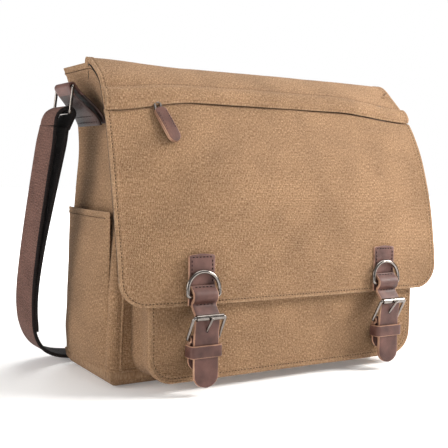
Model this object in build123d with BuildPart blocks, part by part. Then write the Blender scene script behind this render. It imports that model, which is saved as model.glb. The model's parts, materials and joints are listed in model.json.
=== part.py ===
from build123d import *
import math
import os

# Messenger bag: a canvas body with a long front flap, two buckled leather straps that close on
# hidden magnetic snaps, a front pocket, side pockets, a zipped back pocket and a shoulder strap.
# Millimetres. X runs across the bag, the front faces -Y, Z is up, and the floor is Z = 0.

os.makedirs("parts", exist_ok=True)

# Canvas body
body_width = 376.0
body_half = body_width / 2
back_y = 60.0
front_y = -64.0
back_height = 314.0
front_top_y = -30.0
front_height = back_height - 12.0
front_bend_z = 165.0
shoulder_y = -56.0
shoulder_z = back_height - 69.0
base_round = 16.0
bend_round = 60.0
side_round = 9.0
wall = 3.0
base_seam_z = 18.0
side_seam_inset = 11.0

# Lining, base board and laptop sleeve
lining_gap = 3.0
lining_thickness = 1.0
board_thickness = 2.0
board_margin = 12.0
sleeve_pad = 6.0
sleeve_gap = 16.0
sleeve_half_width = body_half - 23.0
sleeve_low_z = 24.0
sleeve_high_z = back_height - 29.0

# Front pocket and side pockets
pocket_half_width = body_half - 24.0
pocket_depth = 40.5
pocket_low_z = 12.0
pocket_high_z = 126.0
pocket_corner = 25.0
pocket_cloth = 2.5
piping_width = 2.0
piping_depth = 3.0
side_pocket_depth = 8.0
side_pocket_cloth = 2.0
side_pocket_high_z = 173.0
side_pocket_margin = 4.0

# Flap: outer profile in the YZ plane, then its layers counted inwards from that profile
flap_overhang = 7.0
flap_clearance = 7.5
flap_width = body_width + 2 * flap_overhang
flap_front_y = front_y - pocket_depth - flap_clearance
flap_low_z = 86.0
flap_bend_z = 130.0
flap_chest = (front_y - 6.0, back_height - 52.0)
flap_belly = (flap_front_y + 14.0, (flap_bend_z + flap_chest[1]) / 2 - 1.0)
flap_brow = (front_top_y - 20.0, back_height - 14.0)
flap_crown = (front_top_y + 14.0, back_height + 8.0)
flap_crown_round = 22.0
flap_brow_round = 30.0
flap_belly_round = 90.0
flap_bend_reach = 9.58
flap_lower_turn = math.atan2(flap_belly[0] - flap_front_y, flap_belly[1] - flap_bend_z)
flap_bend_round = flap_bend_reach / math.tan(flap_lower_turn / 2)
flap_corner = 27.0
flap_canvas = 2.0
flap_hollow = 4.0
flap_lining_thickness = 0.8
flap_hem = 6.0
lip_drop = 1.2
welt_drop = 6.8

# Zips: tape, chain, slider and pull, around the middle plane of the tape
zip_tape = 0.6
zip_tape_half = 14.0
chain_half = 2.5
chain_gap = 0.35
chain_thickness = 1.4
slider_half = 4.5
slider_thickness = 2.8
slide_gap = 0.12
bridge_half = 1.6
pin_radius = 0.8
pin_fit = 0.06
pull_thickness = 3.0
pull_length = 34.0
flap_zip_z = back_height - 31.0
flap_zip_half = body_half - 28.0
flap_zip_start = 20.0 - flap_zip_half
flap_zip_pin_drop = 3.6
flap_pull_width = 14.0
flap_pull_tilt = 22.0
back_zip_z = back_height - 74.0
back_zip_half = body_half - 48.0
back_zip_start = 15.0 - back_zip_half
back_window_half = 6.0
back_pull_width = 9.0

# Buckled straps, one set on each side of the middle
strap_x = 115.0
leather = 2.2
billet_thickness = 3.0
billet_half = 13.5
billet_tip_z = 9.0
patch_half = 14.5
patch_high_z = 136.0
ring_wire = 1.9
ring_bar = (flap_front_y - 6.2, 96.0)
ring_height = 23.0
ring_half = 17.3
loop_play = 0.25
heel = (flap_front_y - 5.6, 55.0)
roller_centre = (flap_front_y - 18.0, 77.5)
frame_wire = 1.6
frame_half = 17.25
roller_radius = 3.0
roller_half = 15.0
shaft_fit = 0.06
prong_radius = 1.25
prong_overhang = 3.5
prong_eye = 3.2
prong_eye_half = 1.8
tab_half = 15.0
tab_low_z = 22.0
keeper_low_z = 38.0
keeper_high_z = 50.0
keeper_play = 0.3
snap_z = 30.0
stud_radius = 7.2
stud_thickness = 3.4
nub_radius = 2.4
nub_length = 1.2
snap_gap = 0.3

# Shoulder strap and its side tabs
anchor_y = 22.0
side_tab_low_z = back_height - 56.0
side_tab_high_z = back_height - 40.0
side_tab_half = 21.0
side_bar = (-body_half - 15.0, back_height - 17.0)
side_low_bar = (-body_half - 18.5, back_height - 44.5)
side_ring_wire = 1.5
strap_width = 38.0
side_ring_half = strap_width / 2 + 4.5
strap_thickness = 3.0
fold_play = 2.7
fold_belly = (-7.5, -7.0)
fold_belly_round = 6.6
fold_drop = 2.6
glide_frame = 3.0
glide_length = 20.0


def write(piece, name):
    """Label a finished piece and write it as its own file."""
    piece.label = name
    export_step(piece, f"parts/{name}.step")


def span(low, high, mode=Mode.ADD):
    """Place a box between two opposite corners."""
    middle = [(a + b) / 2 for a, b in zip(low, high)]
    with Locations(tuple(middle)):
        Box(*[b - a for a, b in zip(low, high)], mode=mode)


def body_block(inset, rise=0.0):
    """The bag's outer volume, moved in by a distance and raised above the mouth."""
    with BuildPart() as block:
        with BuildSketch(Plane.YZ) as side:
            with BuildLine():
                Polyline(
                    (back_y, 0),
                    (front_y, 0),
                    (front_y, front_bend_z),
                    (shoulder_y, shoulder_z),
                    (front_top_y, front_height + rise),
                    (back_y, back_height + rise),
                    close=True,
                )
            make_face()
            fillet(side.vertices().group_by(Axis.Y)[0], base_round)
            fillet(side.vertices().filter_by_position(Axis.Y, base_round + 1, front_height - 1), bend_round)
            if inset:
                offset(amount=-inset)
        extrude(amount=body_half - inset, both=True)
        mouth = block.faces().sort_by(Axis.Z)[-1].edges()
        rims = block.faces().filter_by(Axis.X).edges()
        fillet([edge for edge in rims if edge not in mouth], side_round - inset)
    return block.part


# The body panels are cut from one shell along their seams
side_seam_x = body_half - side_seam_inset
reach = body_width
tall = 2 * back_height
shell_outside = body_block(0)
shell_inside = body_block(wall, rise=20)
panels = {
    "bottom_panel": ((-reach, -reach, 0), (reach, reach, base_seam_z)),
    "gusset_left": ((-reach, -reach, base_seam_z), (-side_seam_x, reach, tall)),
    "gusset_right": ((side_seam_x, -reach, base_seam_z), (reach, reach, tall)),
    "front_panel": ((-side_seam_x, -reach, base_seam_z), (side_seam_x, 0, tall)),
}
for name, (low, high) in panels.items():
    with BuildPart() as panel:
        add(shell_outside)
        add(shell_inside, mode=Mode.SUBTRACT)
        span(low, high, mode=Mode.INTERSECT)
    write(panel.part, name)

with BuildPart() as back_panel:
    add(shell_outside)
    add(shell_inside, mode=Mode.SUBTRACT)
    span((-side_seam_x, 0, base_seam_z), (side_seam_x, reach, tall), mode=Mode.INTERSECT)
    span(
        (-back_zip_half, back_y - wall, back_zip_z - back_window_half),
        (back_zip_half, back_y, back_zip_z + back_window_half),
        mode=Mode.SUBTRACT,
    )
write(back_panel.part, "back_panel")

# Lining: an open bag of thin cloth inside the panels
lining_inset = wall + lining_gap
cavity_inset = lining_inset + lining_thickness
lining_outside = body_block(lining_inset)
lining_inside = body_block(cavity_inset, rise=20)
with BuildPart() as lining:
    add(lining_outside)
    add(lining_inside, mode=Mode.SUBTRACT)
write(lining.part, "lining")

# Base board: stiffener under the lining, on the bottom panel
board_half = body_half - board_margin - base_round
with BuildPart() as base_board:
    span(
        (-board_half, front_y + board_margin + base_round / 2, wall),
        (board_half, back_y - board_margin - base_round / 2, wall + board_thickness),
    )
    fillet(base_board.edges().filter_by(Axis.Z), base_round)
write(base_board.part, "base_board")

# Laptop sleeve: padded front wall, sides and floor on the back lining
sleeve_back_y = back_y - cavity_inset
sleeve_front_y = sleeve_back_y - sleeve_gap - sleeve_pad
with BuildPart() as laptop_sleeve:
    span(
        (-sleeve_half_width, sleeve_front_y, sleeve_low_z),
        (sleeve_half_width, sleeve_back_y, sleeve_high_z),
    )
    span(
        (-sleeve_half_width + sleeve_pad, sleeve_front_y + sleeve_pad, sleeve_low_z + sleeve_pad),
        (sleeve_half_width - sleeve_pad, sleeve_back_y, sleeve_high_z),
        mode=Mode.SUBTRACT,
    )
write(laptop_sleeve.part, "laptop_sleeve")

# Front pocket: face, bellows and piping from one outline with rounded lower corners
pocket_face_y = front_y - pocket_depth
pocket_inner_y = pocket_face_y + pocket_cloth


def pocket_block(grow, y_front, y_back, open_top=False):
    """A slab with the pocket's outline, grown by a distance, between two depths."""
    top_z = pocket_high_z + (pocket_depth if open_top else 0)
    with BuildPart() as block:
        with BuildSketch(Plane.XZ.offset(-y_back)) as outline:
            with BuildLine():
                Polyline(
                    (-pocket_half_width - grow, top_z),
                    (-pocket_half_width - grow, pocket_low_z - grow),
                    (pocket_half_width + grow, pocket_low_z - grow),
                    (pocket_half_width + grow, top_z),
                    close=True,
                )
            make_face()
            fillet(outline.vertices().group_by(Axis.Y)[0], pocket_corner + grow)
        extrude(amount=y_back - y_front)
    return block.part


with BuildPart() as front_pocket_face:
    add(pocket_block(0, pocket_face_y, pocket_inner_y))
write(front_pocket_face.part, "front_pocket_face")

bellows_outside = pocket_block(0, pocket_inner_y, front_y)
bellows_inside = pocket_block(-pocket_cloth, pocket_inner_y, front_y, open_top=True)
with BuildPart() as front_pocket_bellows:
    add(bellows_outside)
    add(bellows_inside, mode=Mode.SUBTRACT)
write(front_pocket_bellows.part, "front_pocket_bellows")

piping_outside = pocket_block(piping_width, pocket_face_y, pocket_face_y + piping_depth)
piping_inside = pocket_block(0, pocket_face_y, pocket_face_y + piping_depth, open_top=True)
with BuildPart() as front_pocket_piping:
    add(piping_outside)
    add(piping_inside, mode=Mode.SUBTRACT)
write(front_pocket_piping.part, "front_pocket_piping")

# Side pockets: shallow open trays on the gussets
tray_front_y = front_y + side_round + side_pocket_margin
tray_back_y = back_y - side_round
for name, side in (("side_pocket_left", -1), ("side_pocket_right", 1)):
    with BuildPart() as tray:
        with Locations((side * (body_half + side_pocket_depth / 2), (tray_front_y + tray_back_y) / 2, base_seam_z)):
            Box(
                side_pocket_depth,
                tray_back_y - tray_front_y,
                side_pocket_high_z - base_seam_z,
                align=(Align.CENTER, Align.CENTER, Align.MIN),
            )
        outer_corners = tray.edges().filter_by(Axis.Z).sort_by(Axis.X)
        fillet(outer_corners[:2] if side < 0 else outer_corners[-2:], side_pocket_depth - side_pocket_cloth)
        with Locations(
            (
                side * (body_half + (side_pocket_depth - side_pocket_cloth) / 2),
                (tray_front_y + tray_back_y) / 2,
                base_seam_z + side_pocket_cloth,
            )
        ):
            Box(
                side_pocket_depth - side_pocket_cloth,
                tray_back_y - tray_front_y - 2 * side_pocket_cloth,
                side_pocket_high_z,
                align=(Align.CENTER, Align.CENTER, Align.MIN),
                mode=Mode.SUBTRACT,
            )
    write(tray.part, name)


# Flap: layers between copies of one profile
def flap_block(inset):
    """Everything under the flap's outer profile, moved in by a distance."""
    with BuildPart() as block:
        with BuildSketch(Plane.YZ) as under:
            with BuildLine():
                FilletPolyline(
                    (flap_front_y, -reach),
                    (flap_front_y, flap_bend_z),
                    flap_belly,
                    flap_chest,
                    flap_brow,
                    flap_crown,
                    (reach, flap_crown[1]),
                    radius=[
                        flap_bend_round,
                        flap_belly_round,
                        flap_belly_round,
                        flap_brow_round,
                        flap_crown_round,
                    ],
                )
                Polyline((reach, flap_crown[1]), (reach, -reach), (flap_front_y, -reach))
            make_face()
            if inset:
                offset(amount=-inset)
        extrude(amount=flap_width / 2, both=True)
    return block.part


zip_run = Vector(0, flap_brow[0] - flap_chest[0], flap_brow[1] - flap_chest[1]).normalized()
zip_out = Vector(0, -zip_run.Z, zip_run.Y)
zip_share = (flap_zip_z - flap_chest[1]) / (flap_brow[1] - flap_chest[1])
zip_y = flap_chest[0] + zip_share * (flap_brow[0] - flap_chest[0])
flap_zip_face = Plane(origin=(0, zip_y, flap_zip_z), x_dir=(1, 0, 0), z_dir=zip_out)
lip_z = flap_zip_z - lip_drop * zip_run.Z
welt_z = flap_zip_z - welt_drop * zip_run.Z
flap_half = flap_width / 2
flap_inset = flap_canvas + flap_hollow

canvas_outside = flap_block(0)
canvas_inside = flap_block(flap_canvas)
hollow_inside = flap_block(flap_inset)
flap_inside = flap_block(flap_inset + flap_lining_thickness)

with BuildPart() as flap_yoke:
    add(canvas_outside)
    add(canvas_inside, mode=Mode.SUBTRACT)
    span((-flap_half, -reach, lip_z), (flap_half, back_y, tall), mode=Mode.INTERSECT)
write(flap_yoke.part, "flap_yoke")

with BuildPart() as flap_front:
    add(canvas_outside)
    add(canvas_inside, mode=Mode.SUBTRACT)
    span((-flap_half, -reach, flap_low_z), (flap_half, back_y, welt_z), mode=Mode.INTERSECT)
    fillet(flap_front.edges().filter_by(Axis.Y).group_by(Axis.Z)[0], flap_corner)
write(flap_front.part, "flap_front")

with BuildPart() as hem_window:
    span(
        (-flap_half + flap_hem, -reach, flap_low_z + flap_hem),
        (flap_half - flap_hem, back_y, tall),
    )
    fillet(hem_window.edges().filter_by(Axis.Y).group_by(Axis.Z)[0], flap_corner - flap_hem)

with BuildPart() as flap_edge:
    add(canvas_inside)
    add(hollow_inside, mode=Mode.SUBTRACT)
    span((-flap_half, -reach, flap_low_z), (flap_half, back_y, tall), mode=Mode.INTERSECT)
    fillet(flap_edge.edges().filter_by(Axis.Y).group_by(Axis.Z)[0], flap_corner)
    add(hem_window.part, mode=Mode.SUBTRACT)
write(flap_edge.part, "flap_edge")

with BuildPart() as flap_lining:
    add(hollow_inside)
    add(flap_inside, mode=Mode.SUBTRACT)
    span((-flap_half, -reach, flap_low_z), (flap_half, back_y, tall), mode=Mode.INTERSECT)
    fillet(flap_lining.edges().filter_by(Axis.Y).group_by(Axis.Z)[0], flap_corner)
write(flap_lining.part, "flap_lining")


# Zips
def zip_parts(prefix, face, cover, chain_reach, start, pin_y, pull_width, tilt):
    """Tape, chain, slider and pull of one zip, whose tape lies a depth under an outer face."""
    middle = face.offset(-cover)
    pin_height = cover + pin_radius + leather / 2
    with BuildPart(middle) as tape:
        for edge in (-1, 1):
            with Locations((0, edge * (chain_half + zip_tape_half) / 2, 0)):
                Box(2 * chain_reach, zip_tape_half - chain_half, zip_tape)
    write(tape.part, f"{prefix}_zip_tape")

    with BuildPart(middle) as chain:
        for edge in (-1, 1):
            with Locations((0, edge * (chain_half + chain_gap) / 2, 0)):
                Box(2 * chain_reach, chain_half - chain_gap, chain_thickness)
    write(chain.part, f"{prefix}_zip_chain")

    with BuildPart(middle) as slider:
        with Locations((start, 0, 0)):
            Box(2 * slider_half, 2 * slider_half, slider_thickness)
            Box(
                2 * slider_half,
                2 * (chain_half + slide_gap),
                chain_thickness + 2 * slide_gap,
                mode=Mode.SUBTRACT,
            )
            Box(2 * slider_half, 2 * slider_half, zip_tape + 2 * slide_gap, mode=Mode.SUBTRACT)
            Box(slider_half, 2 * (chain_gap - slide_gap), slider_thickness)
        bridge_top = pin_height + bridge_half
        with Locations((start, pin_y, (slider_thickness / 2 + bridge_top) / 2)):
            Box(2 * bridge_half, 2 * bridge_half, bridge_top - slider_thickness / 2)
        with Locations((start, pin_y, pin_height)):
            Cylinder(pin_radius + pin_fit, 2 * slider_half, rotation=(0, 90, 0), mode=Mode.SUBTRACT)
    write(slider.part, f"{prefix}_zip_slider")

    arm_x = bridge_half + 2 * pin_radius
    pull_top = pin_y - 2 * slider_half
    with BuildPart(middle) as link:
        with Locations((start, pin_y, pin_height)):
            Cylinder(pin_radius, 2 * arm_x, rotation=(0, 90, 0))
        for edge in (-1, 1):
            with Locations((start + edge * arm_x, (pin_y + pull_top) / 2, pin_height)):
                Box(2 * pin_radius, pin_y - pull_top + 2 * pin_radius, 2 * pin_radius)
        with Locations((start, pull_top, pin_height)):
            Box(2 * arm_x, 2 * pin_radius, 2 * pin_radius)
    write(link.part, f"{prefix}_zip_link")

    pull_drop = (arm_x + pin_radius) * math.sin(math.radians(tilt)) + pin_radius + slide_gap
    tilted = Plane(middle.location * Location((start, pull_top, pin_height), (0, 0, tilt)))
    with BuildPart(tilted) as pull:
        with Locations((0, -pull_length / 2 - pull_drop, 0)):
            Box(pull_width, pull_length, pull_thickness)
        fillet(pull.edges().filter_by(Axis((0, 0, 0), tilted.z_dir)), pull_width / 3)
    write(pull.part, f"{prefix}_zip_pull")


flap_zip_cover = flap_canvas + flap_hollow / 2 - zip_tape / 2
zip_parts(
    "flap",
    flap_zip_face,
    flap_zip_cover,
    flap_zip_half,
    flap_zip_start,
    -flap_zip_pin_drop,
    flap_pull_width,
    flap_pull_tilt,
)
back_face = Plane(origin=(0, back_y, back_zip_z), x_dir=(-1, 0, 0), z_dir=(0, 1, 0))
zip_parts(
    "back",
    back_face,
    wall + zip_tape / 2,
    back_zip_half,
    -back_zip_start,
    0,
    back_pull_width,
    0,
)

# Buckled straps
patch_face_y = flap_front_y - leather
billet_lay_y = patch_face_y - billet_thickness / 2
hump_y = ring_bar[0] - ring_wire - loop_play - billet_thickness / 2
loop_inner = frame_wire + shaft_fit
loop_outer = loop_inner + leather
tab_back_y = heel[0] + loop_outer
tab_front_y = tab_back_y - leather
billet_y = heel[0] - loop_outer - loop_play - billet_thickness / 2
behind_roller_y = roller_centre[0] + roller_radius + 2 * loop_play + billet_thickness / 2
hump_rise = ring_wire + loop_play + 0.75
billet_bend = 0.6 * billet_thickness
billet_line = (
    (billet_lay_y, ring_bar[1] + 9),
    (billet_lay_y, ring_bar[1] + hump_rise + 3.4),
    (hump_y, ring_bar[1] + hump_rise),
    (hump_y, ring_bar[1] - hump_rise),
    (billet_lay_y - 1, ring_bar[1] - hump_rise - 3.4),
    (billet_lay_y - 1, flap_low_z + 0.6),
    (behind_roller_y, roller_centre[1] + 1),
    (behind_roller_y, roller_centre[1] - 2),
    (billet_y, heel[1] + loop_outer + 1),
    (billet_y, billet_tip_z),
)
bar_gap = math.hypot(heel[0] - roller_centre[0], heel[1] - roller_centre[1])
frame_lean = math.atan2(heel[0] - roller_centre[0], roller_centre[1] - heel[1])
prong_offset = math.asin((roller_radius + prong_radius + loop_play) / bar_gap)
prong_lean = frame_lean + prong_offset
prong_run = Vector(0, -math.sin(prong_lean), math.cos(prong_lean))
ring_lean = math.asin((patch_face_y - ring_wire - loop_play - ring_bar[0]) / ring_height)
slot_low_z = heel[1] + 1.0
slot_high_z = heel[1] + 14.5
slot_half = prong_eye_half + 0.6


def loop_wire(plane, half, height, radius, low_round, high_round):
    """A closed ring of round wire whose lower bar lies on the plane's X axis."""
    with BuildPart() as ring:
        with BuildLine(plane) as path:
            FilletPolyline(
                (-half, 0),
                (half, 0),
                (half, height),
                (-half, height),
                radius=[low_round, low_round, high_round, high_round],
                close=True,
            )
        route = path.wires()[0]
        with BuildSketch(Plane(origin=route @ 0, z_dir=route % 0)):
            Circle(radius)
        sweep(path=route)
    return ring.part


for side_name, middle_x in (("left", -strap_x), ("right", strap_x)):
    centre = Plane.YZ.offset(middle_x)

    with BuildPart() as strap_patch:
        span(
            (middle_x - patch_half, patch_face_y, flap_low_z + 1),
            (middle_x + patch_half, flap_front_y, patch_high_z),
        )
        fillet(strap_patch.edges().filter_by(Axis.Y), 2)
    write(strap_patch.part, f"strap_patch_{side_name}")

    with BuildPart() as billet:
        with BuildSketch(centre):
            with BuildLine():
                FilletPolyline(
                    *billet_line,
                    radius=[billet_bend] * 5 + [2 * billet_bend] * 2 + [4 * billet_bend],
                )
            trace(line_width=billet_thickness)
        extrude(amount=billet_half, both=True)
        fillet(billet.edges().filter_by(Axis.Y).group_by(Axis.Z)[0], billet_half - 1)
        span(
            (middle_x - slot_half, billet_y - 2 * billet_thickness, slot_low_z),
            (middle_x + slot_half, billet_y + 2 * billet_thickness, slot_high_z),
            mode=Mode.SUBTRACT,
        )
    write(billet.part, f"billet_{side_name}")

    ring_plane = Plane(
        origin=(middle_x, *ring_bar),
        x_dir=(1, 0, 0),
        z_dir=(0, -math.cos(ring_lean), math.sin(ring_lean)),
    )
    d_ring = loop_wire(ring_plane, ring_half, ring_height, ring_wire, 2.4, ring_half - 0.5)
    write(d_ring, f"d_ring_{side_name}")

    frame_plane = Plane(
        origin=(middle_x, *heel),
        x_dir=(1, 0, 0),
        z_dir=(0, -math.cos(frame_lean), -math.sin(frame_lean)),
    )
    buckle_frame = loop_wire(frame_plane, frame_half, bar_gap, frame_wire, 2.2, 2.2)
    write(buckle_frame, f"buckle_frame_{side_name}")

    with BuildPart() as roller:
        with BuildSketch(Plane.YZ.offset(middle_x)):
            with Locations(roller_centre):
                Circle(roller_radius)
                Circle(frame_wire + shaft_fit, mode=Mode.SUBTRACT)
        extrude(amount=roller_half - 0.5, both=True)
    write(roller.part, f"roller_{side_name}")

    with BuildPart() as prong:
        with BuildSketch(centre):
            with Locations(heel):
                Circle(prong_eye)
        extrude(amount=prong_eye_half, both=True)
        start_at = Vector(middle_x, *heel) + prong_run * prong_radius
        with BuildSketch(Plane(origin=start_at, z_dir=prong_run)):
            Circle(prong_radius)
        extrude(amount=bar_gap + prong_overhang - prong_radius)
        fillet(prong.faces().sort_by(Axis.Z)[-1].edges(), prong_radius / 2)
        with BuildSketch(centre):
            with Locations(heel):
                Circle(frame_wire + shaft_fit)
        extrude(amount=billet_half, both=True, mode=Mode.SUBTRACT)
    write(prong.part, f"prong_{side_name}")

    with BuildPart() as buckle_tab:
        with BuildSketch(centre):
            with Locations(heel):
                Circle(loop_outer)
            with Locations(((tab_back_y + tab_front_y) / 2, (tab_low_z + heel[1]) / 2)):
                Rectangle(leather, heel[1] - tab_low_z)
            with Locations(heel):
                Circle(loop_inner, mode=Mode.SUBTRACT)
        extrude(amount=tab_half, both=True)
        fillet(buckle_tab.edges().filter_by(Axis.Y).group_by(Axis.Z)[0], tab_half - 2)
        span(
            (middle_x - slot_half, heel[0] - 2 * loop_outer, heel[1] - loop_outer - 0.6),
            (middle_x + slot_half, heel[0] + 2 * loop_outer, heel[1] + 2 * loop_outer),
            mode=Mode.SUBTRACT,
        )
    write(buckle_tab.part, f"buckle_tab_{side_name}")

    keeper_inner = tab_half + keeper_play
    keeper_back = tab_back_y + keeper_play
    keeper_front = billet_y - billet_thickness / 2 - keeper_play
    with BuildPart() as keeper:
        span(
            (middle_x - keeper_inner - leather, keeper_front - leather, keeper_low_z),
            (middle_x + keeper_inner + leather, keeper_back + leather, keeper_high_z),
        )
        fillet(keeper.edges().filter_by(Axis.Z), leather)
        span(
            (middle_x - keeper_inner, keeper_front, keeper_low_z),
            (middle_x + keeper_inner, keeper_back, keeper_high_z),
            mode=Mode.SUBTRACT,
        )
    write(keeper.part, f"keeper_{side_name}")

    stud_end_y = tab_back_y + stud_thickness
    with BuildPart() as snap_stud:
        with BuildSketch(Plane.XZ.offset(-tab_back_y)):
            with Locations((middle_x, snap_z)):
                Circle(stud_radius)
        extrude(amount=-stud_thickness)
        with BuildSketch(Plane.XZ.offset(-stud_end_y)):
            with Locations((middle_x, snap_z)):
                Circle(nub_radius)
        extrude(amount=-nub_length)
    write(snap_stud.part, f"snap_stud_{side_name}")

    socket_face_y = stud_end_y + snap_gap
    with BuildPart() as snap_socket:
        with BuildSketch(Plane.XZ.offset(-pocket_face_y)):
            with Locations((middle_x, snap_z)):
                Circle(stud_radius)
        extrude(amount=pocket_face_y - socket_face_y)
        with BuildSketch(Plane.XZ.offset(-socket_face_y)):
            with Locations((middle_x, snap_z)):
                Circle(nub_radius + 4 * snap_gap + nub_length / 2)
        extrude(amount=-(nub_length + 2 * snap_gap), mode=Mode.SUBTRACT)
    write(snap_socket.part, f"snap_socket_{side_name}")

# Side tabs and rings, made on the left and mirrored
ring_up = Vector(side_bar[0] - side_low_bar[0], 0, side_bar[1] - side_low_bar[1])
side_ring_plane = Plane(
    origin=(side_low_bar[0], anchor_y, side_low_bar[1]),
    x_dir=(0, 1, 0),
    z_dir=Vector(0, 1, 0).cross(ring_up.normalized()),
)
side_ring = loop_wire(side_ring_plane, side_ring_half, ring_up.length, side_ring_wire, 3, 3)
fold_inner = side_ring_wire + fold_play
fold_outer = fold_inner + strap_thickness

with BuildPart() as side_tab:
    with BuildSketch(Plane.XZ.offset(-anchor_y)):
        with Locations(side_bar):
            Circle(side_ring_wire + shaft_fit + leather)
        with Locations((-body_half - leather / 2, (side_tab_low_z + side_tab_high_z) / 2)):
            Rectangle(leather, side_tab_high_z - side_tab_low_z)
        make_hull()
    extrude(amount=side_tab_half, both=True)
    with BuildSketch(Plane.XZ.offset(-anchor_y)):
        with Locations(side_bar):
            Circle(side_ring_wire + shaft_fit)
        with Locations((-body_half - 1.8 * leather, side_tab_low_z + 4.5 * leather)):
            Circle(0.2 * leather)
        make_hull()
    extrude(amount=side_tab_half, both=True, mode=Mode.SUBTRACT)

belly_centre = (side_low_bar[0] + fold_belly[0], side_low_bar[1] + fold_belly[1])
with BuildPart() as strap_fold:
    for bar_round, belly_round, mode in (
        (fold_outer, fold_belly_round, Mode.ADD),
        (fold_inner, fold_belly_round - strap_thickness, Mode.SUBTRACT),
    ):
        with BuildSketch(Plane.XZ.offset(-anchor_y)):
            with Locations(side_low_bar):
                Circle(bar_round)
            with Locations(belly_centre):
                Circle(belly_round)
            make_hull()
        extrude(amount=strap_width / 2, both=True, mode=mode)

side_pieces = (("side_tab", side_tab.part), ("side_ring", side_ring), ("strap_fold", strap_fold.part))
for name, piece in side_pieces:
    write(mirror(piece, about=Plane.YZ), f"{name}_right")
    write(piece, f"{name}_left")

# Shoulder strap: down from each ring and along the floor behind the bag
strap_start_x = belly_centre[0]
strap_start_z = belly_centre[1] - fold_belly_round - fold_drop
floor_z = strap_thickness / 2 + 0.5
strap_route = (
    (strap_start_x, anchor_y, strap_start_z),
    (-224, 24, 225),
    (-231, 29, 175),
    (-235.5, 37, 125),
    (-236.5, 48, 78),
    (-230, 61, 38),
    (-206, 78, 11),
    (-165, 86, floor_z + 0.6),
    (-112, 89, floor_z),
    (-56, 87, floor_z),
    (0, 90, floor_z),
    (56, 88, floor_z),
    (112, 90, floor_z),
    (165, 86, floor_z + 0.6),
    (205, 78, 11),
    (225, 66, 38),
    (229, 54, 78),
    (227, 43, 125),
    (222, 34, 175),
    (217, 27, 225),
    (-strap_start_x, anchor_y, strap_start_z),
)
strap_radii = []
for before, corner, after in zip(strap_route, strap_route[1:], strap_route[2:]):
    run_in = Vector(*corner) - Vector(*before)
    run_out = Vector(*after) - Vector(*corner)
    half_turn = math.radians(run_in.get_angle(run_out)) / 2
    strap_radii.append(0.45 * min(run_in.length, run_out.length) / math.tan(half_turn))
print("strap radii:", [round(radius) for radius in strap_radii])

with BuildPart() as shoulder_strap:
    with BuildLine() as strap_path:
        FilletPolyline(*strap_route, radius=strap_radii)
    strap_wire = strap_path.wires()[0]
    with BuildSketch(Plane(origin=strap_wire @ 0, x_dir=(0, 1, 0), z_dir=strap_wire % 0)):
        Rectangle(strap_width, strap_thickness)
    sweep(path=strap_wire, binormal=strap_wire.moved(Location((0, reach, 0))))
write(shoulder_strap.part, "shoulder_strap")
print("strap length:", round(strap_wire.length), "volume / section x length:",
      round(shoulder_strap.part.volume / (strap_wire.length * strap_width * strap_thickness), 4))

# Length adjuster on the right-hand drop of the strap
glide_at = 0.87
glide_plane = Plane(origin=strap_wire @ glide_at, x_dir=(0, 1, 0), z_dir=strap_wire % glide_at)
with BuildPart(glide_plane) as strap_slider:
    Box(strap_width + 2 * glide_frame, strap_thickness + 2 * glide_frame, glide_length)
    Box(strap_width + glide_frame / 2, strap_thickness + glide_frame / 2, glide_length, mode=Mode.SUBTRACT)
write(strap_slider.part, "strap_slider")
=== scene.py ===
"""Looks of a canvas messenger bag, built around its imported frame.

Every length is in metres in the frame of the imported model: X runs across the bag, the front
faces -Y and the floor is Z = 0.
"""

import json
import logging
import math
from collections.abc import Callable
from dataclasses import dataclass, field
from enum import Enum
from functools import cached_property

import bmesh
import bpy
from mathutils import Matrix, Vector, noise

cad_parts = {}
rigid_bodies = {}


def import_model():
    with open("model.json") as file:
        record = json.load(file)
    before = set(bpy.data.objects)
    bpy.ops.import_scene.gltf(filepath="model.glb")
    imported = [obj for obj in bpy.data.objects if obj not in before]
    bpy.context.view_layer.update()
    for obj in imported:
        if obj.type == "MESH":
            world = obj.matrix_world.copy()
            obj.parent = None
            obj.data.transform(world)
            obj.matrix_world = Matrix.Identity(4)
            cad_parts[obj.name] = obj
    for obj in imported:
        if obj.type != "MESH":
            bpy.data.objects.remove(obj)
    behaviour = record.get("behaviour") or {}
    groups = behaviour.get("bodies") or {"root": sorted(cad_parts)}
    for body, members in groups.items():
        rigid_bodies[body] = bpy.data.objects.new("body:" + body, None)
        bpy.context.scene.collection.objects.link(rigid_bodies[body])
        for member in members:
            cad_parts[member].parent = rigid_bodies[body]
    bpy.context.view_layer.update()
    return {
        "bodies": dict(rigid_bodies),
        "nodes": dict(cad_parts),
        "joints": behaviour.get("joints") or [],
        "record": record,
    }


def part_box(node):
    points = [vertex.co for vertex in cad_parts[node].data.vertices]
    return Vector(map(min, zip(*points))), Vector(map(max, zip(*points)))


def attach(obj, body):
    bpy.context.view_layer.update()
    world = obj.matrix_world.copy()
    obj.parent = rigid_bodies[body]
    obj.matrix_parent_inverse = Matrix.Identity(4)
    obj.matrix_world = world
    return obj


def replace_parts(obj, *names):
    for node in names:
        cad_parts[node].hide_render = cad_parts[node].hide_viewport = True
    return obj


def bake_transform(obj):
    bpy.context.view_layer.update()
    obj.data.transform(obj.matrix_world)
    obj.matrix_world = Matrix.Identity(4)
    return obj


LOG = logging.getLogger("messenger_bag")
Surface = Callable[[float, float], Vector]
Share = Callable[[float], float]

MM = 0.001
CLOTH_UV = "cloth"
WEAR = "wear"
WAVES_PER_SCALE = 6.2832
SIDES = {"left": -1, "right": 1}
ACROSS = Vector((1, 0, 0))
INWARD = Vector((0, 1, 0))


# ---------------------------------------------------------------- small mathematics


def ramp(low: float, high: float, value: float) -> float:
    """Rise smoothly from 0 at one value to 1 at another."""
    share = min(max((value - low) / (high - low), 0.0), 1.0)
    return share * share * (3 - 2 * share)


def mix(first: float, second: float, share: float) -> float:
    """Blend two numbers."""
    return first + (second - first) * share


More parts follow.
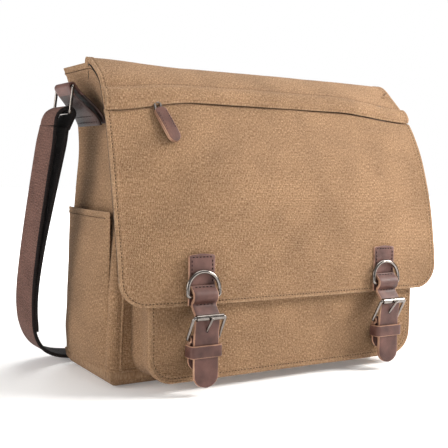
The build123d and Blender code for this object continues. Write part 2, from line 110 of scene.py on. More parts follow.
def ripple(point: Vector, size: float, height: float, seed: float = 0.0) -> float:
    """Smooth unevenness of cloth at a point.

    Args:
        point: Place on the cloth.
        size: Distance over which the cloth rises and falls.
        height: Largest rise.
        seed: Shifts the pattern, so that neighbours differ.

    Returns:
        The rise, between minus and plus height.
    """
    return height * noise.noise(point / size + Vector((seed, 1.7 * seed, -seed)))


class Course:
    """A smooth line through a few points, read by its length."""

    SAMPLES = 600

    def __init__(self, points: list[tuple[float, ...]], smooth: bool = True) -> None:
        """Thread the line.

        Args:
            points: The points that it passes through.
            smooth: Whether it rounds its points or turns sharply at them.
        """
        given = [Vector(point) for point in points]
        if smooth:
            ends = [2 * given[0] - given[1], *given, 2 * given[-1] - given[-2]]
            spans = zip(ends, ends[1:], ends[2:], ends[3:])
            given = [given[0]] + [self._between(*span, step / 16) for span in spans for step in range(1, 17)]
        marks = [0.0]
        for start, end in zip(given, given[1:]):
            marks.append(marks[-1] + (end - start).length)
        self.length = marks[-1]
        self.points = []
        low = 0
        for index in range(self.SAMPLES + 1):
            distance = self.length * index / self.SAMPLES
            while low < len(given) - 2 and marks[low + 1] < distance:
                low += 1
            run = marks[low + 1] - marks[low]
            self.points.append(given[low].lerp(given[low + 1], min(1.0, (distance - marks[low]) / run)))

    @staticmethod
    def _between(before: Vector, start: Vector, end: Vector, after: Vector, share: float) -> Vector:
        """Point of a Catmull-Rom span."""
        square, cube = share * share, share**3
        return 0.5 * (
            2 * start
            + (end - before) * share
            + (2 * before - 5 * start + 4 * end - after) * square
            + (3 * start - before - 3 * end + after) * cube
        )

    def at(self, distance: float) -> Vector:
        """Point at a distance from the start."""
        place = min(max(distance / self.length, 0.0), 1.0) * self.SAMPLES
        low = min(int(place), self.SAMPLES - 1)
        return self.points[low].lerp(self.points[low + 1], place - low)

    def along(self, distance: float) -> Vector:
        """Direction at a distance from the start."""
        reach = self.length * 0.004
        return (self.at(distance + reach) - self.at(distance - reach)).normalized()

    def where(self, axis: int, value: float) -> float:
        """Distance at which a coordinate first passes a value."""
        for index, (start, end) in enumerate(zip(self.points, self.points[1:])):
            if (start[axis] - value) * (end[axis] - value) <= 0 and start[axis] != end[axis]:
                share = (value - start[axis]) / (end[axis] - start[axis])
                return self.length * (index + share) / self.SAMPLES
        return self.length


# ---------------------------------------------------------------- finishes


class Shader:
    """Builds one node material."""

    def __init__(self, name: str) -> None:
        """Start a material with one shader.

        Args:
            name: The material's name.
        """
        self.material = bpy.data.materials.new(name)
        self.material.use_nodes = True
        self.tree = self.material.node_tree
        self.surface = self.tree.nodes["Principled BSDF"]

    def node(self, kind: str, **settings: object) -> bpy.types.Node:
        """Add a node.

        Args:
            kind: The node's type.
            **settings: Its properties, or values of its inputs where the name has no property.

        Returns:
            The node.
        """
        made = self.tree.nodes.new(kind)
        for key, value in settings.items():
            if hasattr(made, key):
                setattr(made, key, value)
            else:
                made.inputs[key.replace("_", " ").title()].default_value = value
        return made

    def link(self, source: bpy.types.NodeSocket, target: bpy.types.NodeSocket) -> None:
        """Join two sockets."""
        self.tree.links.new(source, target)

    def coordinates(self, scale: tuple[float, float, float], cloth: bool) -> bpy.types.NodeSocket:
        """Pattern coordinates.

        Args:
            scale: Stretch along each axis.
            cloth: Whether to follow the cloth's own layout or the object's space.

        Returns:
            The vector socket.
        """
        source = self.node("ShaderNodeUVMap", uv_map=CLOTH_UV) if cloth else self.node("ShaderNodeTexCoord")
        mapping = self.node("ShaderNodeMapping")
        mapping.inputs["Scale"].default_value = scale
        self.link(source.outputs["UV"] if cloth else source.outputs["Object"], mapping.inputs["Vector"])
        return mapping.outputs["Vector"]

    def noise(self, where: bpy.types.NodeSocket, scale: float, detail: float = 2.0) -> bpy.types.NodeSocket:
        """Noise pattern at some coordinates."""
        made = self.node("ShaderNodeTexNoise")
        made.inputs["Scale"].default_value = scale
        made.inputs["Detail"].default_value = detail
        self.link(where, made.inputs["Vector"])
        return made.outputs["Fac"]

    def weave(
        self, where: bpy.types.NodeSocket, threads: float, across: str, waver: float
    ) -> bpy.types.NodeSocket:
        """Crossing bands, as warp and weft make.

        Args:
            where: Pattern coordinates.
            threads: Threads to the metre.
            across: Axis that the weft runs across.
            waver: How uneven the threads are.

        Returns:
            The height socket.
        """
        bands = []
        for axis in ("X", across):
            made = self.node("ShaderNodeTexWave", wave_type="BANDS", bands_direction=axis)
            made.inputs["Scale"].default_value = threads / WAVES_PER_SCALE
            made.inputs["Distortion"].default_value = waver
            made.inputs["Detail"].default_value = 1.0
            self.link(where, made.inputs["Vector"])
            bands.append(made.outputs["Fac"])
        return self.combine("MULTIPLY", *bands)

    def ramp(self, source: bpy.types.NodeSocket, stops: list[tuple[float, tuple]]) -> bpy.types.NodeSocket:
        """Colour ramp.

        Args:
            source: What drives it.
            stops: Position and colour of each stop.

        Returns:
            The colour socket.
        """
        made = self.node("ShaderNodeValToRGB")
        elements = made.color_ramp.elements
        while len(elements) < len(stops):
            elements.new(0.5)
        for element, (position, colour) in zip(elements, stops):
            element.position = position
            element.color = (*colour, 1.0)
        self.link(source, made.inputs["Fac"])
        return made.outputs["Color"]

    def combine(self, kind: str, first: object, second: object, clamp: bool = False) -> bpy.types.NodeSocket:
        """Arithmetic on two sockets or numbers."""
        made = self.node("ShaderNodeMath", operation=kind, use_clamp=clamp)
        for socket, value in zip(made.inputs, (first, second)):
            if isinstance(value, bpy.types.NodeSocket):
                self.link(value, socket)
            else:
                socket.default_value = value
        return made.outputs["Value"]

    def total(self, first: object, weight: float, second: object, other: float = 1.0) -> bpy.types.NodeSocket:
        """Weighted sum of two sockets or numbers."""
        terms = [
            value if share == 1.0 else self.combine("MULTIPLY", value, share)
            for value, share in ((first, weight), (second, other))
        ]
        return self.combine("ADD", *terms)

    def blend(self, kind: str, share: object, first: object, second: object) -> bpy.types.NodeSocket:
        """Blend two colours.

        Args:
            kind: Blend type.
            share: Amount, a number or a socket.
            first: Base colour or socket.
            second: Top colour or socket.

        Returns:
            The colour socket.
        """
        made = self.node("ShaderNodeMix", data_type="RGBA", blend_type=kind)
        for socket, value in ((made.inputs[0], share), (made.inputs[6], first), (made.inputs[7], second)):
            if isinstance(value, bpy.types.NodeSocket):
                self.link(value, socket)
            elif isinstance(value, tuple):
                socket.default_value = (*value, 1.0)
            else:
                socket.default_value = value
        return made.outputs[2]

    def bump(self, height: bpy.types.NodeSocket, strength: float, distance: float) -> None:
        """Raise the surface by a pattern."""
        made = self.node("ShaderNodeBump")
        made.inputs["Strength"].default_value = strength
        made.inputs["Distance"].default_value = distance
        self.link(height, made.inputs["Height"])
        self.link(made.outputs["Normal"], self.surface.inputs["Normal"])

    def fix(self, **values: float) -> None:
        """Set inputs of the shader itself."""
        names = {
            "roughness": "Roughness",
            "metallic": "Metallic",
            "sheen": "Sheen Weight",
            "sheen_roughness": "Sheen Roughness",
            "coat": "Coat Weight",
            "coat_roughness": "Coat Roughness",
            "specular": "Specular IOR Level",
        }
        for key, value in values.items():
            self.surface.inputs[names[key]].default_value = value

    def worn(self) -> bpy.types.NodeSocket:
        """How worn the surface is, from the mesh."""
        made = self.node("ShaderNodeAttribute", attribute_name=WEAR)
        return made.outputs["Fac"]


@dataclass(frozen=True)
class Canvas:
    """Washed cotton canvas: a heathered weave, paler where hems are worn."""

    name: str = "canvas_washed"
    dark: tuple[float, float, float] = (0.138, 0.074, 0.036)
    base: tuple[float, float, float] = (0.255, 0.152, 0.084)
    pale: tuple[float, float, float] = (0.430, 0.292, 0.182)
    worn: tuple[float, float, float] = (0.400, 0.266, 0.162)
    threads_per_metre: float = 1150.0

    def build(self) -> bpy.types.Material:
        """Make the material."""
        shader = Shader(self.name)
        flat = shader.coordinates((1, 1, 1), cloth=True)
        slubs = shader.noise(shader.coordinates((1150, 380, 1), cloth=True), 1.0, 3.0)
        cross = shader.noise(shader.coordinates((400, 950, 1), cloth=True), 1.0, 2.0)
        patches = shader.noise(flat, 22.0, 5.0)
        grain = shader.total(slubs, 0.62, cross, 0.38)
        tone = shader.ramp(grain, [(0.34, self.dark), (0.50, self.base), (0.68, self.pale)])
        mottle = shader.ramp(patches, [(0.30, (0.80, 0.78, 0.76)), (0.68, (1.12, 1.10, 1.07))])
        body = shader.blend("MULTIPLY", 0.85, tone, mottle)
        fray = shader.combine("MULTIPLY", shader.worn(), shader.total(slubs, 0.9, 0.25), clamp=True)
        shader.link(shader.blend("MIX", fray, body, self.worn), shader.surface.inputs["Base Color"])
        weave = shader.weave(flat, self.threads_per_metre, "Y", 1.2)
        shader.bump(shader.total(weave, 1.0, grain, 1.6), 0.55, 0.0011)
        shader.fix(roughness=0.95, sheen=0.06, sheen_roughness=0.5, specular=0.10)
        return shader.material


@dataclass(frozen=True)
class Leather:
    """Oiled leather with a fine grain and darker patches of handling."""

    name: str
    dark: tuple[float, float, float]
    base: tuple[float, float, float]
    light: tuple[float, float, float]
    roughness: float = 0.46

    def build(self) -> bpy.types.Material:
        """Make the material."""
        shader = Shader(self.name)
        where = shader.coordinates((1, 1, 1), cloth=False)
        patches = shader.noise(where, 60.0, 4.0)
        pores = shader.node("ShaderNodeTexVoronoi", feature="DISTANCE_TO_EDGE")
        pores.inputs["Scale"].default_value = 900.0
        shader.link(where, pores.inputs["Vector"])
        tone = shader.ramp(patches, [(0.30, self.dark), (0.52, self.base), (0.75, self.light)])
        shader.link(tone, shader.surface.inputs["Base Color"])
        rough = shader.total(patches, 0.22, self.roughness - 0.11)
        shader.link(rough, shader.surface.inputs["Roughness"])
        height = shader.total(pores.outputs["Distance"], 2.0, shader.noise(where, 1700.0, 3.0))
        shader.bump(height, 0.35, 0.0004)
        shader.fix(coat=0.0, specular=0.30)
        return shader.material


@dataclass(frozen=True)
class Metal:
    """Plated metal with faint rub marks."""

    name: str
    colour: tuple[float, float, float]
    roughness: float

    def build(self) -> bpy.types.Material:
        """Make the material."""
        shader = Shader(self.name)
        where = shader.coordinates((1, 1, 1), cloth=False)
        haze = shader.noise(where, 240.0, 4.0)
        rubbed = tuple(min(1.0, 1.35 * part) for part in self.colour)
        tone = shader.ramp(haze, [(0.35, self.colour), (0.75, rubbed)])
        shader.link(tone, shader.surface.inputs["Base Color"])
        rough = shader.total(haze, 0.16, self.roughness - 0.06)
        shader.link(rough, shader.surface.inputs["Roughness"])
        shader.bump(shader.noise(where, 900.0, 2.0), 0.06, 0.0002)
        shader.fix(metallic=1.0)
        return shader.material


@dataclass(frozen=True)
class Woven:
    """Plain woven cloth or webbing of one colour, such as lining, tape and strap."""

    name: str
    dark: tuple[float, float, float]
    light: tuple[float, float, float]
    threads_per_metre: float
    cloth: bool = True
    roughness: float = 0.8
    depth: float = 0.0006

    def build(self) -> bpy.types.Material:
        """Make the material."""
        shader = Shader(self.name)
        where = shader.coordinates((1, 1, 1), cloth=self.cloth)
        fleck = shader.noise(where, self.threads_per_metre * 0.9, 3.0)
        patches = shader.noise(where, 35.0, 3.0)
        mottle = shader.total(fleck, 0.75, patches, 0.25)
        tone = shader.ramp(mottle, [(0.36, self.dark), (0.64, self.light)])
        shader.link(tone, shader.surface.inputs["Base Color"])
        weave = shader.weave(where, self.threads_per_metre, "Y" if self.cloth else "Z", 0.8)
        shader.bump(shader.combine("ADD", weave, fleck), 0.5, self.depth)
        shader.fix(roughness=self.roughness, sheen=0.03, specular=0.12)
        return shader.material


class Finish(Enum):
    """The bag's finishes."""

    CANVAS = Canvas()
    PIPING = Canvas("canvas_edge", (0.155, 0.086, 0.042), (0.285, 0.175, 0.10), (0.43, 0.29, 0.18))
    LEATHER = Leather("leather_plum", (0.055, 0.023, 0.018), (0.098, 0.043, 0.034), (0.150, 0.072, 0.057))
    PULL_LEATHER = Leather(
        "leather_russet", (0.055, 0.019, 0.012), (0.098, 0.036, 0.024), (0.15, 0.062, 0.04)
    )
    # Near-black leather that is painted shade: it stands for the shadow on the lower outer face of the side
    # tabs.
    DARK_LEATHER = Leather("leather_shaded", (0.014, 0.006, 0.005), (0.03, 0.013, 0.01), (0.055, 0.025, 0.02))
    CUT_EDGE = Leather("leather_cut_edge", (0.20, 0.10, 0.06), (0.36, 0.20, 0.13), (0.50, 0.31, 0.21), 0.7)
    NICKEL = Metal("dark_nickel", (0.185, 0.165, 0.150), 0.16)
    ZIP_METAL = Metal("zip_nickel", (0.17, 0.155, 0.145), 0.30)
    SNAP = Metal("snap_plate", (0.42, 0.38, 0.32), 0.30)
    LINING = Woven("lining_black", (0.006, 0.005, 0.005), (0.026, 0.023, 0.022), 1500.0, roughness=0.7)
    PADDING = Woven("padded_black", (0.008, 0.008, 0.008), (0.034, 0.031, 0.030), 1100.0, roughness=0.85)
    TAPE = Woven("zip_tape", (0.020, 0.012, 0.008), (0.060, 0.038, 0.027), 1800.0, cloth=False)
    WEBBING = Woven("strap_brown", (0.048, 0.021, 0.016), (0.165, 0.086, 0.066), 700.0, depth=0.0009)
    WEBBING_BACK = Woven("strap_back", (0.006, 0.005, 0.005), (0.026, 0.020, 0.019), 1000.0, depth=0.0009)
    THREAD = Woven("thread_brown", (0.040, 0.021, 0.011), (0.095, 0.052, 0.028), 3000.0, cloth=False)
    TAN_THREAD = Woven("thread_tan", (0.120, 0.066, 0.034), (0.230, 0.135, 0.076), 3000.0, cloth=False)
    DARK_THREAD = Woven("thread_dark", (0.010, 0.004, 0.004), (0.026, 0.012, 0.010), 3000.0, cloth=False)
    BOARD = Woven("base_board", (0.010, 0.010, 0.010), (0.022, 0.021, 0.020), 400.0, cloth=False)

    @property
    def material(self) -> bpy.types.Material:
        """The finish's material, made the first time it is asked for."""
        return bpy.data.materials.get(self.value.name) or self.value.build()


# ---------------------------------------------------------------- mesh making


def piece(
    name: str,
    mesh: bmesh.types.BMesh,
    finishes: list[Finish],
    body: str,
    closed: bool = True,
) -> bpy.types.Object:
    """Turn a finished mesh into an object that moves with a body.

    Args:
        name: The piece's name.
        mesh: Its mesh, which this frees.
        finishes: One finish for each material index.
        body: The body that it rides on, or nothing for a piece that is blended across a joint.
        closed: Whether the mesh closes round a volume, so that its faces can be turned outwards.

    Returns:
        The object.
    """
    bmesh.ops.remove_doubles(mesh, verts=mesh.verts, dist=0.5e-6)
    if closed:
        bmesh.ops.recalc_face_normals(mesh, faces=mesh.faces)
    for face in mesh.faces:
        face.smooth = True
    data = bpy.data.meshes.new(name)
    mesh.to_mesh(data)
    mesh.free()
    made = bpy.data.objects.new(name, data)
    bpy.context.scene.collection.objects.link(made)
    for finish in finishes:
        data.materials.append(finish.material)
    if body:
        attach(made, body)
    LOG.info("%s: %d faces on %s", name, len(data.polygons), body or "two bodies")
    return made


class Edge(Enum):
    """Sides of a cloth panel, seen from its face."""

    LEFT = "left"
    RIGHT = "right"
    TOP = "top"
    BOTTOM = "bottom"


ALL_ROUND = (Edge.LEFT, Edge.RIGHT, Edge.TOP, Edge.BOTTOM)
SIDES_AND_HEM = (Edge.LEFT, Edge.RIGHT, Edge.BOTTOM)


@dataclass(frozen=True)
class Cloth:
    """A sewn panel: its smooth shape, with x to the right and y down as seen from its face.

    The hemmed edges are thicker, puckered along their stitches and paler where they rub.
    """

    surface: Surface
    half: float
    length: float
    columns: int
    rows: int
    hemmed: tuple[Edge, ...] = ()
    corner: float = 0.0
    seed: float = 0.0
    slack: float = 1.1 * MM
    hem: float = 7.0 * MM
    hem_rise: float = 0.5 * MM
    pucker: float = 0.35 * MM
    inset: float = 3.5 * MM
    rub: float = 0.8

    def flat(self, across: float, down: float) -> tuple[float, float]:
        """Flat place of a share across and down, with the lower corners rounded."""
        across = mix(across, 0.5 - 0.5 * math.cos(math.pi * across), 0.6)
        down = mix(down, 0.5 - 0.5 * math.cos(math.pi * down), 0.6)
        x, y = (2 * across - 1) * self.half, down * self.length
        out, low = (abs(x) - self.half + self.corner), (y - self.length + self.corner)
        if self.corner and out > 0 and low > 0:
            a, b = out / self.corner, low / self.corner
            x = math.copysign(self.half - self.corner + self.corner * a * math.sqrt(1 - b * b / 2), x)
            y = self.length - self.corner + self.corner * b * math.sqrt(1 - a * a / 2)
        return x, y

    def margin(self, x: float, y: float) -> float:
        """Distance from the nearest hemmed edge."""
        gaps = {
            Edge.LEFT: self.half + x,
            Edge.RIGHT: self.half - x,
            Edge.TOP: y,
            Edge.BOTTOM: self.length - y,
        }
        out, low = abs(x) - self.half + self.corner, y - self.length + self.corner
        if self.corner and Edge.BOTTOM in self.hemmed and out > 0 and low > 0:
            return self.corner - math.hypot(out, low)
        return min((gaps[edge] for edge in self.hemmed), default=1.0)

    def relief(self, x: float, y: float) -> float:
        """Height of the real cloth over its smooth shape."""
        edge = self.margin(x, y)
        spot = Vector((x, y, self.seed))
        rise = ripple(spot, 0.075, self.slack, self.seed)
        rise += ripple(spot, 0.022, 0.25 * self.slack, self.seed + 3)
        if edge < 4 * self.hem:
            fold = self.hem_rise * (1 - ramp(self.hem - 0.6 * MM, self.hem + 0.6 * MM, edge))
            groove = 0.45 * MM * math.exp(-(((edge - self.inset) / (0.9 * MM)) ** 2))
            near = math.exp(-(((edge - self.inset) / (3.2 * MM)) ** 2))
            crimp = ripple(spot, 0.0048, self.pucker, self.seed + 5) * near
            rise = rise * ramp(0, 4 * self.hem, edge) + fold - groove + crimp
        return rise

    def at(self, x: float, y: float) -> tuple[Vector, Vector]:
        """Point and outward direction of the real cloth at a flat place."""
        step = 0.6 * MM
        right = self.surface(x + step, y) - self.surface(x - step, y)
        down = self.surface(x, y + step) - self.surface(x, y - step)
        out = down.cross(right).normalized()
        return self.surface(x, y) + out * self.relief(x, y), out

    def mesh(self) -> bmesh.types.BMesh:
        """The panel's outer face, with its cloth layout and wear."""
        mesh = bmesh.new()
        layout = mesh.loops.layers.uv.new(CLOTH_UV)
        worn = mesh.verts.layers.float.new(WEAR)
        bmesh.ops.create_grid(mesh, x_segments=self.columns, y_segments=self.rows, size=0.5)
        places = {vert: self.flat(vert.co.x + 0.5, 0.5 - vert.co.y) for vert in mesh.verts}
        for face in mesh.faces:
            for loop in face.loops:
                x, y = places[loop.vert]
                loop[layout].uv = (x + self.half + self.seed, self.length - y)
        for vert, (x, y) in places.items():
            edge = self.margin(x, y)
            rubbed = 1 - ramp(0.0, 2.6 * MM, edge)
            stitched = 0.35 * math.exp(-(((edge - self.inset) / (1.6 * MM)) ** 2))
            patchy = 0.65 + 0.6 * noise.noise(Vector((x, y, self.seed)) / 0.013)
            vert[worn] = self.rub * (rubbed + stitched) * patchy
            vert.co = self.at(x, y)[0]
        return mesh

    def build(
        self, name: str, thickness: float, finishes: list[Finish], body: str, slot: str
    ) -> bpy.types.Object:
        """Make the panel with its thickness behind its face.

        Args:
            name: The piece's name.
            thickness: How thick the cloth is.
            finishes: Outer finish, then the back's if it differs.
            body: The body that it rides on.
            slot: The record's material slot; not used.

        Returns:
            The object.
        """
        made = piece(name, self.mesh(), finishes, body, closed=False)
        solid = made.modifiers.new("thickness", "SOLIDIFY")
        solid.thickness = thickness
        solid.offset = -1.0
        if len(finishes) > 1:
            solid.material_offset = 1
        return made

    def row(self, inset: float, edges: tuple[Edge, ...] = ()) -> list[Course]:
        """Flat stitch lines at a distance inside some edges, one for each unbroken run."""
        edges = edges or self.hemmed
        left, right = inset - self.half, self.half - inset
        top, low = (inset if Edge.TOP in edges else 0.0), self.length - inset
        runs = []
        if Edge.TOP in edges:
            runs.append(Course([(left, inset, 0), (right, inset, 0)], smooth=False))
        if Edge.BOTTOM in edges:
            turn = max(self.corner - inset, 0.0)
            arcs = [math.radians(9 * step) for step in range(11)] if turn else []
            bend_left = [
                (left + turn * (1 - math.cos(angle)), low - turn * (1 - math.sin(angle)), 0) for angle in arcs
            ]
            bend_right = [(-x, y, 0) for x, y, _ in reversed(bend_left)]
            start = [(left, top, 0)] if Edge.LEFT in edges else []
            end = [(right, top, 0)] if Edge.RIGHT in edges else []
            middle = bend_left + bend_right or [(left, low, 0), (right, low, 0)]
            runs.append(Course(start + middle + end, smooth=False))
            return runs
        for edge, x in ((Edge.LEFT, left), (Edge.RIGHT, right)):
            if edge in edges:
                runs.append(Course([(x, top, 0), (x, self.length, 0)], smooth=False))
        return runs

    def sew(self, mesh: bmesh.types.BMesh, runs: list[Course], size: float = 1.0 * MM) -> None:
        """Add rows of stitches along flat lines on this cloth."""
        for run in runs:
            stitches(mesh, lambda distance: self.at(*run.at(distance).xy), run.length, 3.6 * MM, size)

    def sew_across(
        self, mesh: bmesh.types.BMesh, low: float, high: float, y: float, size: float = 1.0 * MM
    ) -> None:
        """Add a straight row of stitches across, from one X to another."""
        self.sew(mesh, [Course([(low, y, 0), (high, y, 0)], smooth=False)], size)


def stitches(
    mesh: bmesh.types.BMesh,
    line: Callable[[float], tuple[Vector, Vector]],
    length: float,
    pitch: float,
    size: float,
) -> None:
    """Add a row of thread stitches.

    Args:
        mesh: The mesh that they are added to.
        line: Point and outward direction at a distance along the row.
        length: The row's length.
        pitch: Distance from one stitch to the next.
        size: The thread's thickness.
    """
    count = max(2, round(length / pitch))
    pitch = length / count
    for index in range(count):
        centre, out = line((index + 0.5) * pitch)
        ahead, _ = line((index + 0.8) * pitch)
        run = (ahead - centre).normalized()
        out = (out - run * out.dot(run)).normalized()
        turn = Matrix((run, out.cross(run), out)).transposed().to_4x4()
        shape = Matrix.Diagonal((0.37 * pitch, size / 2, 0.4 * size, 1))
        where = Matrix.Translation(centre + out * 0.12 * size) @ turn @ shape
        bmesh.ops.create_icosphere(mesh, subdivisions=1, radius=1.0, matrix=where)


def tube(
    mesh: bmesh.types.BMesh,
    points: list[Vector],
    radius: float,
    sides: int = 10,
    closed: bool = False,
) -> None:
    """Add a round cord along some points.

    Args:
        mesh: The mesh that it is added to.
        points: The cord's middle line.
        radius: The cord's radius.
        sides: Sides of its section.
        closed: Whether its ends meet.
    """
    layout = mesh.loops.layers.uv.get(CLOTH_UV) or mesh.loops.layers.uv.new(CLOTH_UV)
    up = Vector((0.31, 0.27, 0.91)).normalized()
    rings, travelled, count = [], 0.0, len(points)
    for index, point in enumerate(points):
        before = points[index - 1] if index or closed else point
        after = points[(index + 1) % count] if index < count - 1 or closed else point
        run = (after - before).normalized()
        up = (up - run * up.dot(run)).normalized()
        frame = Matrix((up, run.cross(up), run)).transposed().to_4x4()
        made = bmesh.ops.create_circle(
            mesh, segments=sides, radius=radius, matrix=Matrix.Translation(point) @ frame
        )
        travelled += (point - before).length if index else 0.0
        rings.append((made["verts"], travelled))
    pairs = list(zip(rings, rings[1:])) + ([(rings[-1], rings[0])] if closed else [])
    for (first, start), (second, end) in pairs:
        for turn in range(sides):
            after = (turn + 1) % sides
            face = mesh.faces.new((first[turn], first[after], second[after], second[turn]))
            marks = ((turn, start), (turn + 1, start), (turn + 1, end), (turn, end))
            for loop, (step, reach) in zip(face.loops, marks):
                loop[layout].uv = (step / sides * 2 * math.pi * radius, reach)
    if not closed:
        mesh.faces.new(rings[0][0])
        mesh.faces.new(rings[-1][0])


@dataclass(frozen=True)
class Ribbon:
    """A flat strip along a course: leather with pale cut edges, or webbing."""

    course: Course
    across: Vector
    half_width: Share
    thickness: float
    rounding: float = 0.6 * MM
    edge_finish: int = 1
    back_finish: int = 0
    face_points: int = 9
    sheared: bool = False

    def station(self, distance: float) -> tuple[Vector, Vector, Vector]:
        """Middle point, sideways direction and outward direction at a distance."""
        run = self.course.along(distance)
        side = self.across if self.sheared else (self.across - run * self.across.dot(run)).normalized()
        return self.course.at(distance), side, side.cross(run).normalized()

    def on_face(self, distance: float, offset: float, face: int = 1) -> tuple[Vector, Vector]:
        """Point and outward direction on the front, 1, or the back, -1, at a sideways offset."""
        middle, side, out = self.station(distance)
        return middle + side * offset + out * (face * self.thickness / 2), out * face

    def add(self, mesh: bmesh.types.BMesh, step: float = 1.5 * MM, closed: bool = False) -> None:
        """Add the strip to a mesh.

        Args:
            mesh: The mesh.
            step: Distance between two sections.
            closed: Whether its ends meet.
        """
        layout = mesh.loops.layers.uv.get(CLOTH_UV) or mesh.loops.layers.uv.new(CLOTH_UV)
        worn = mesh.verts.layers.float.get(WEAR) or mesh.verts.layers.float.new(WEAR)
        count = max(4, round(self.course.length / step))
        rings = []
        for index in range(count if closed else count + 1):
            distance = self.course.length * index / count
            middle, side, out = self.station(distance)
            half = self.half_width(index / count)
            outline = self._outline(half)
            ring = [mesh.verts.new(middle + side * x + out * y) for x, y in outline]
            for vert, (x, _) in zip(ring, outline):
                vert[worn] = ramp(half - 2.5 * MM, half, abs(x))
            rings.append((ring, outline, distance))
        pairs = list(zip(rings, rings[1:])) + ([(rings[-1], rings[0])] if closed else [])
        for (first, low, start), (second, high, end) in pairs:
            end = end or self.course.length
            for turn in range(len(first)):
                after = (turn + 1) % len(first)
                face = mesh.faces.new((first[turn], first[after], second[after], second[turn]))
                face.material_index = self._finish_of(turn)
                marks = ((low[turn], start), (low[after], start), (high[after], end), (high[turn], end))
                for loop, ((x, _), reach) in zip(face.loops, marks):
                    loop[layout].uv = (x + 0.1, reach)
        if not closed:
            for ring, _, _ in (rings[0], rings[-1]):
                mesh.faces.new(ring).material_index = self.edge_finish

    def _outline(self, half: float) -> list[tuple[float, float]]:
        """One section: a rectangle with rounded corners and a few points across each face."""
        deep = self.thickness / 2
        trim = min(self.rounding, 0.45 * self.thickness, 0.45 * half)
        last = self.face_points - 1
        faces = [mix(trim - half, half - trim, share / last) for share in range(self.face_points)]
        front = [(x, deep) for x in faces]
        back = [(x, -deep) for x in reversed(faces)]
        right = [(half - 0.3 * trim, deep - 0.3 * trim), (half, deep - trim), (half, trim - deep)]
        right.append((half - 0.3 * trim, 0.3 * trim - deep))
        left = [(-x, -y) for x, y in right]
        return front + right + back + left

    def _finish_of(self, turn: int) -> int:
        """Material index of a strip of faces round the section."""
        if turn < self.face_points - 1:
            return 0
        if turn < self.face_points + 4:
            return self.edge_finish
        if turn < 2 * self.face_points + 3:
            return self.back_finish
        return self.edge_finish


def tongue(half: float, length: float, start: float = 0.0, end: float = 0.0) -> Share:
    """Half-width of a strip whose ends are rounded off.

    Args:
        half: Its half-width away from the ends.
        length: Its length.
        start: Length of the rounding at its start.
        end: Length of the rounding at its end.

    Returns:
        The half-width at a share of its length.
    """

    def width(share: float) -> float:
        """Half-width at a share of the length."""
        gap_start, gap_end = share * length, (1 - share) * length
        keep = 1.0
        if start and gap_start < start:
            keep = math.sqrt(max(0.0, 1 - (1 - gap_start / start) ** 2))
        if end and gap_end < end:
            keep = min(keep, math.sqrt(max(0.0, 1 - (1 - gap_end / end) ** 2)))
        return max(half * keep, 0.12 * half)

    return width


def bar(mesh: bmesh.types.BMesh, low: Vector, high: Vector, round_off: float, segments: int = 3) -> None:
    """Add a block with rounded edges between two corners."""
    size = high - low
    where = Matrix.Translation((low + high) / 2) @ Matrix.Diagonal((*size, 1))
    made = bmesh.ops.create_cube(mesh, size=1.0, matrix=where)
    edges = list({edge for vert in made["verts"] for edge in vert.link_edges})
    bmesh.ops.bevel(
        mesh,
        geom=edges,
        offset=round_off,
        offset_type="OFFSET",
        segments=segments,
        profile=0.5,
        affect="EDGES",
        material=-1,
    )


# ---------------------------------------------------------------- flap


@dataclass(frozen=True)
class FlapShape:
    """The flap's outer surface, from the seam on the back panel over the top and down the front."""

    half: float = 195 * MM
    back_width: float = 0.935

    @cached_property
    def profiles(self) -> tuple[Course, Course, Course]:
        """Outlines seen from the side: left end, middle and right end."""
        behind = [(61.6, 306), (61.2, 315), (57.0, 320.4), (44, 321.6)]
        tucked = [(61.6, 306), (60.6, 310), (57.0, 312.2), (44, 312.0)]
        left = [(14, 310), (3, 312), (-5, 318), (-14, 324.2), (-24, 321.6), (-34, 315.6), (-48, 305)]
        left += [(-56, 292), (-66, 266), (-77, 225), (-85, 190), (-92, 158), (-99, 126), (-104.5, 86)]
        middle = [(10, 322.8), (-8, 322.6), (-22, 319.5), (-38, 310.2), (-52, 296), (-62, 278), (-74, 254)]
        middle += [(-88, 224), (-98, 192), (-106, 160), (-111.2, 130), (-112, 110), (-112, 86)]
        right = [(10, 321.5), (-6, 321.5), (-17, 317), (-30, 305.5), (-44, 292.5), (-58, 277), (-70, 260)]
        right += [(-83, 235), (-93, 207), (-101, 178), (-107, 145), (-110.5, 116), (-111.5, 86)]
        return tuple(
            Course([(0, y * MM, z * MM) for y, z in start + end])
            for start, end in ((tucked, left), (behind, middle), (behind, right))
        )

    def share_at(self, height: float) -> float:
        """Share of the middle outline, from the back, at which its front comes down to a height."""
        course = self.profiles[1]
        last = course.SAMPLES
        index = next(step for step in range(last // 3, last) if course.points[step].z <= height)
        return index / last

    def at(self, x: float, share: float) -> Vector:
        """Point at a distance from the middle and a share of the way from back seam to hem."""
        left, middle, right = self.profiles
        side = left if x < 0 else right
        part = ramp(0.42, 1.0, abs(x) / self.half)
        point = middle.at(share * middle.length).lerp(side.at(share * side.length), part)
        narrow = mix(self.back_width, 1.0, ramp(20 * MM, -16 * MM, point.y)) if x < 0 else 1.0
        return Vector((x * narrow, point.y, point.z))


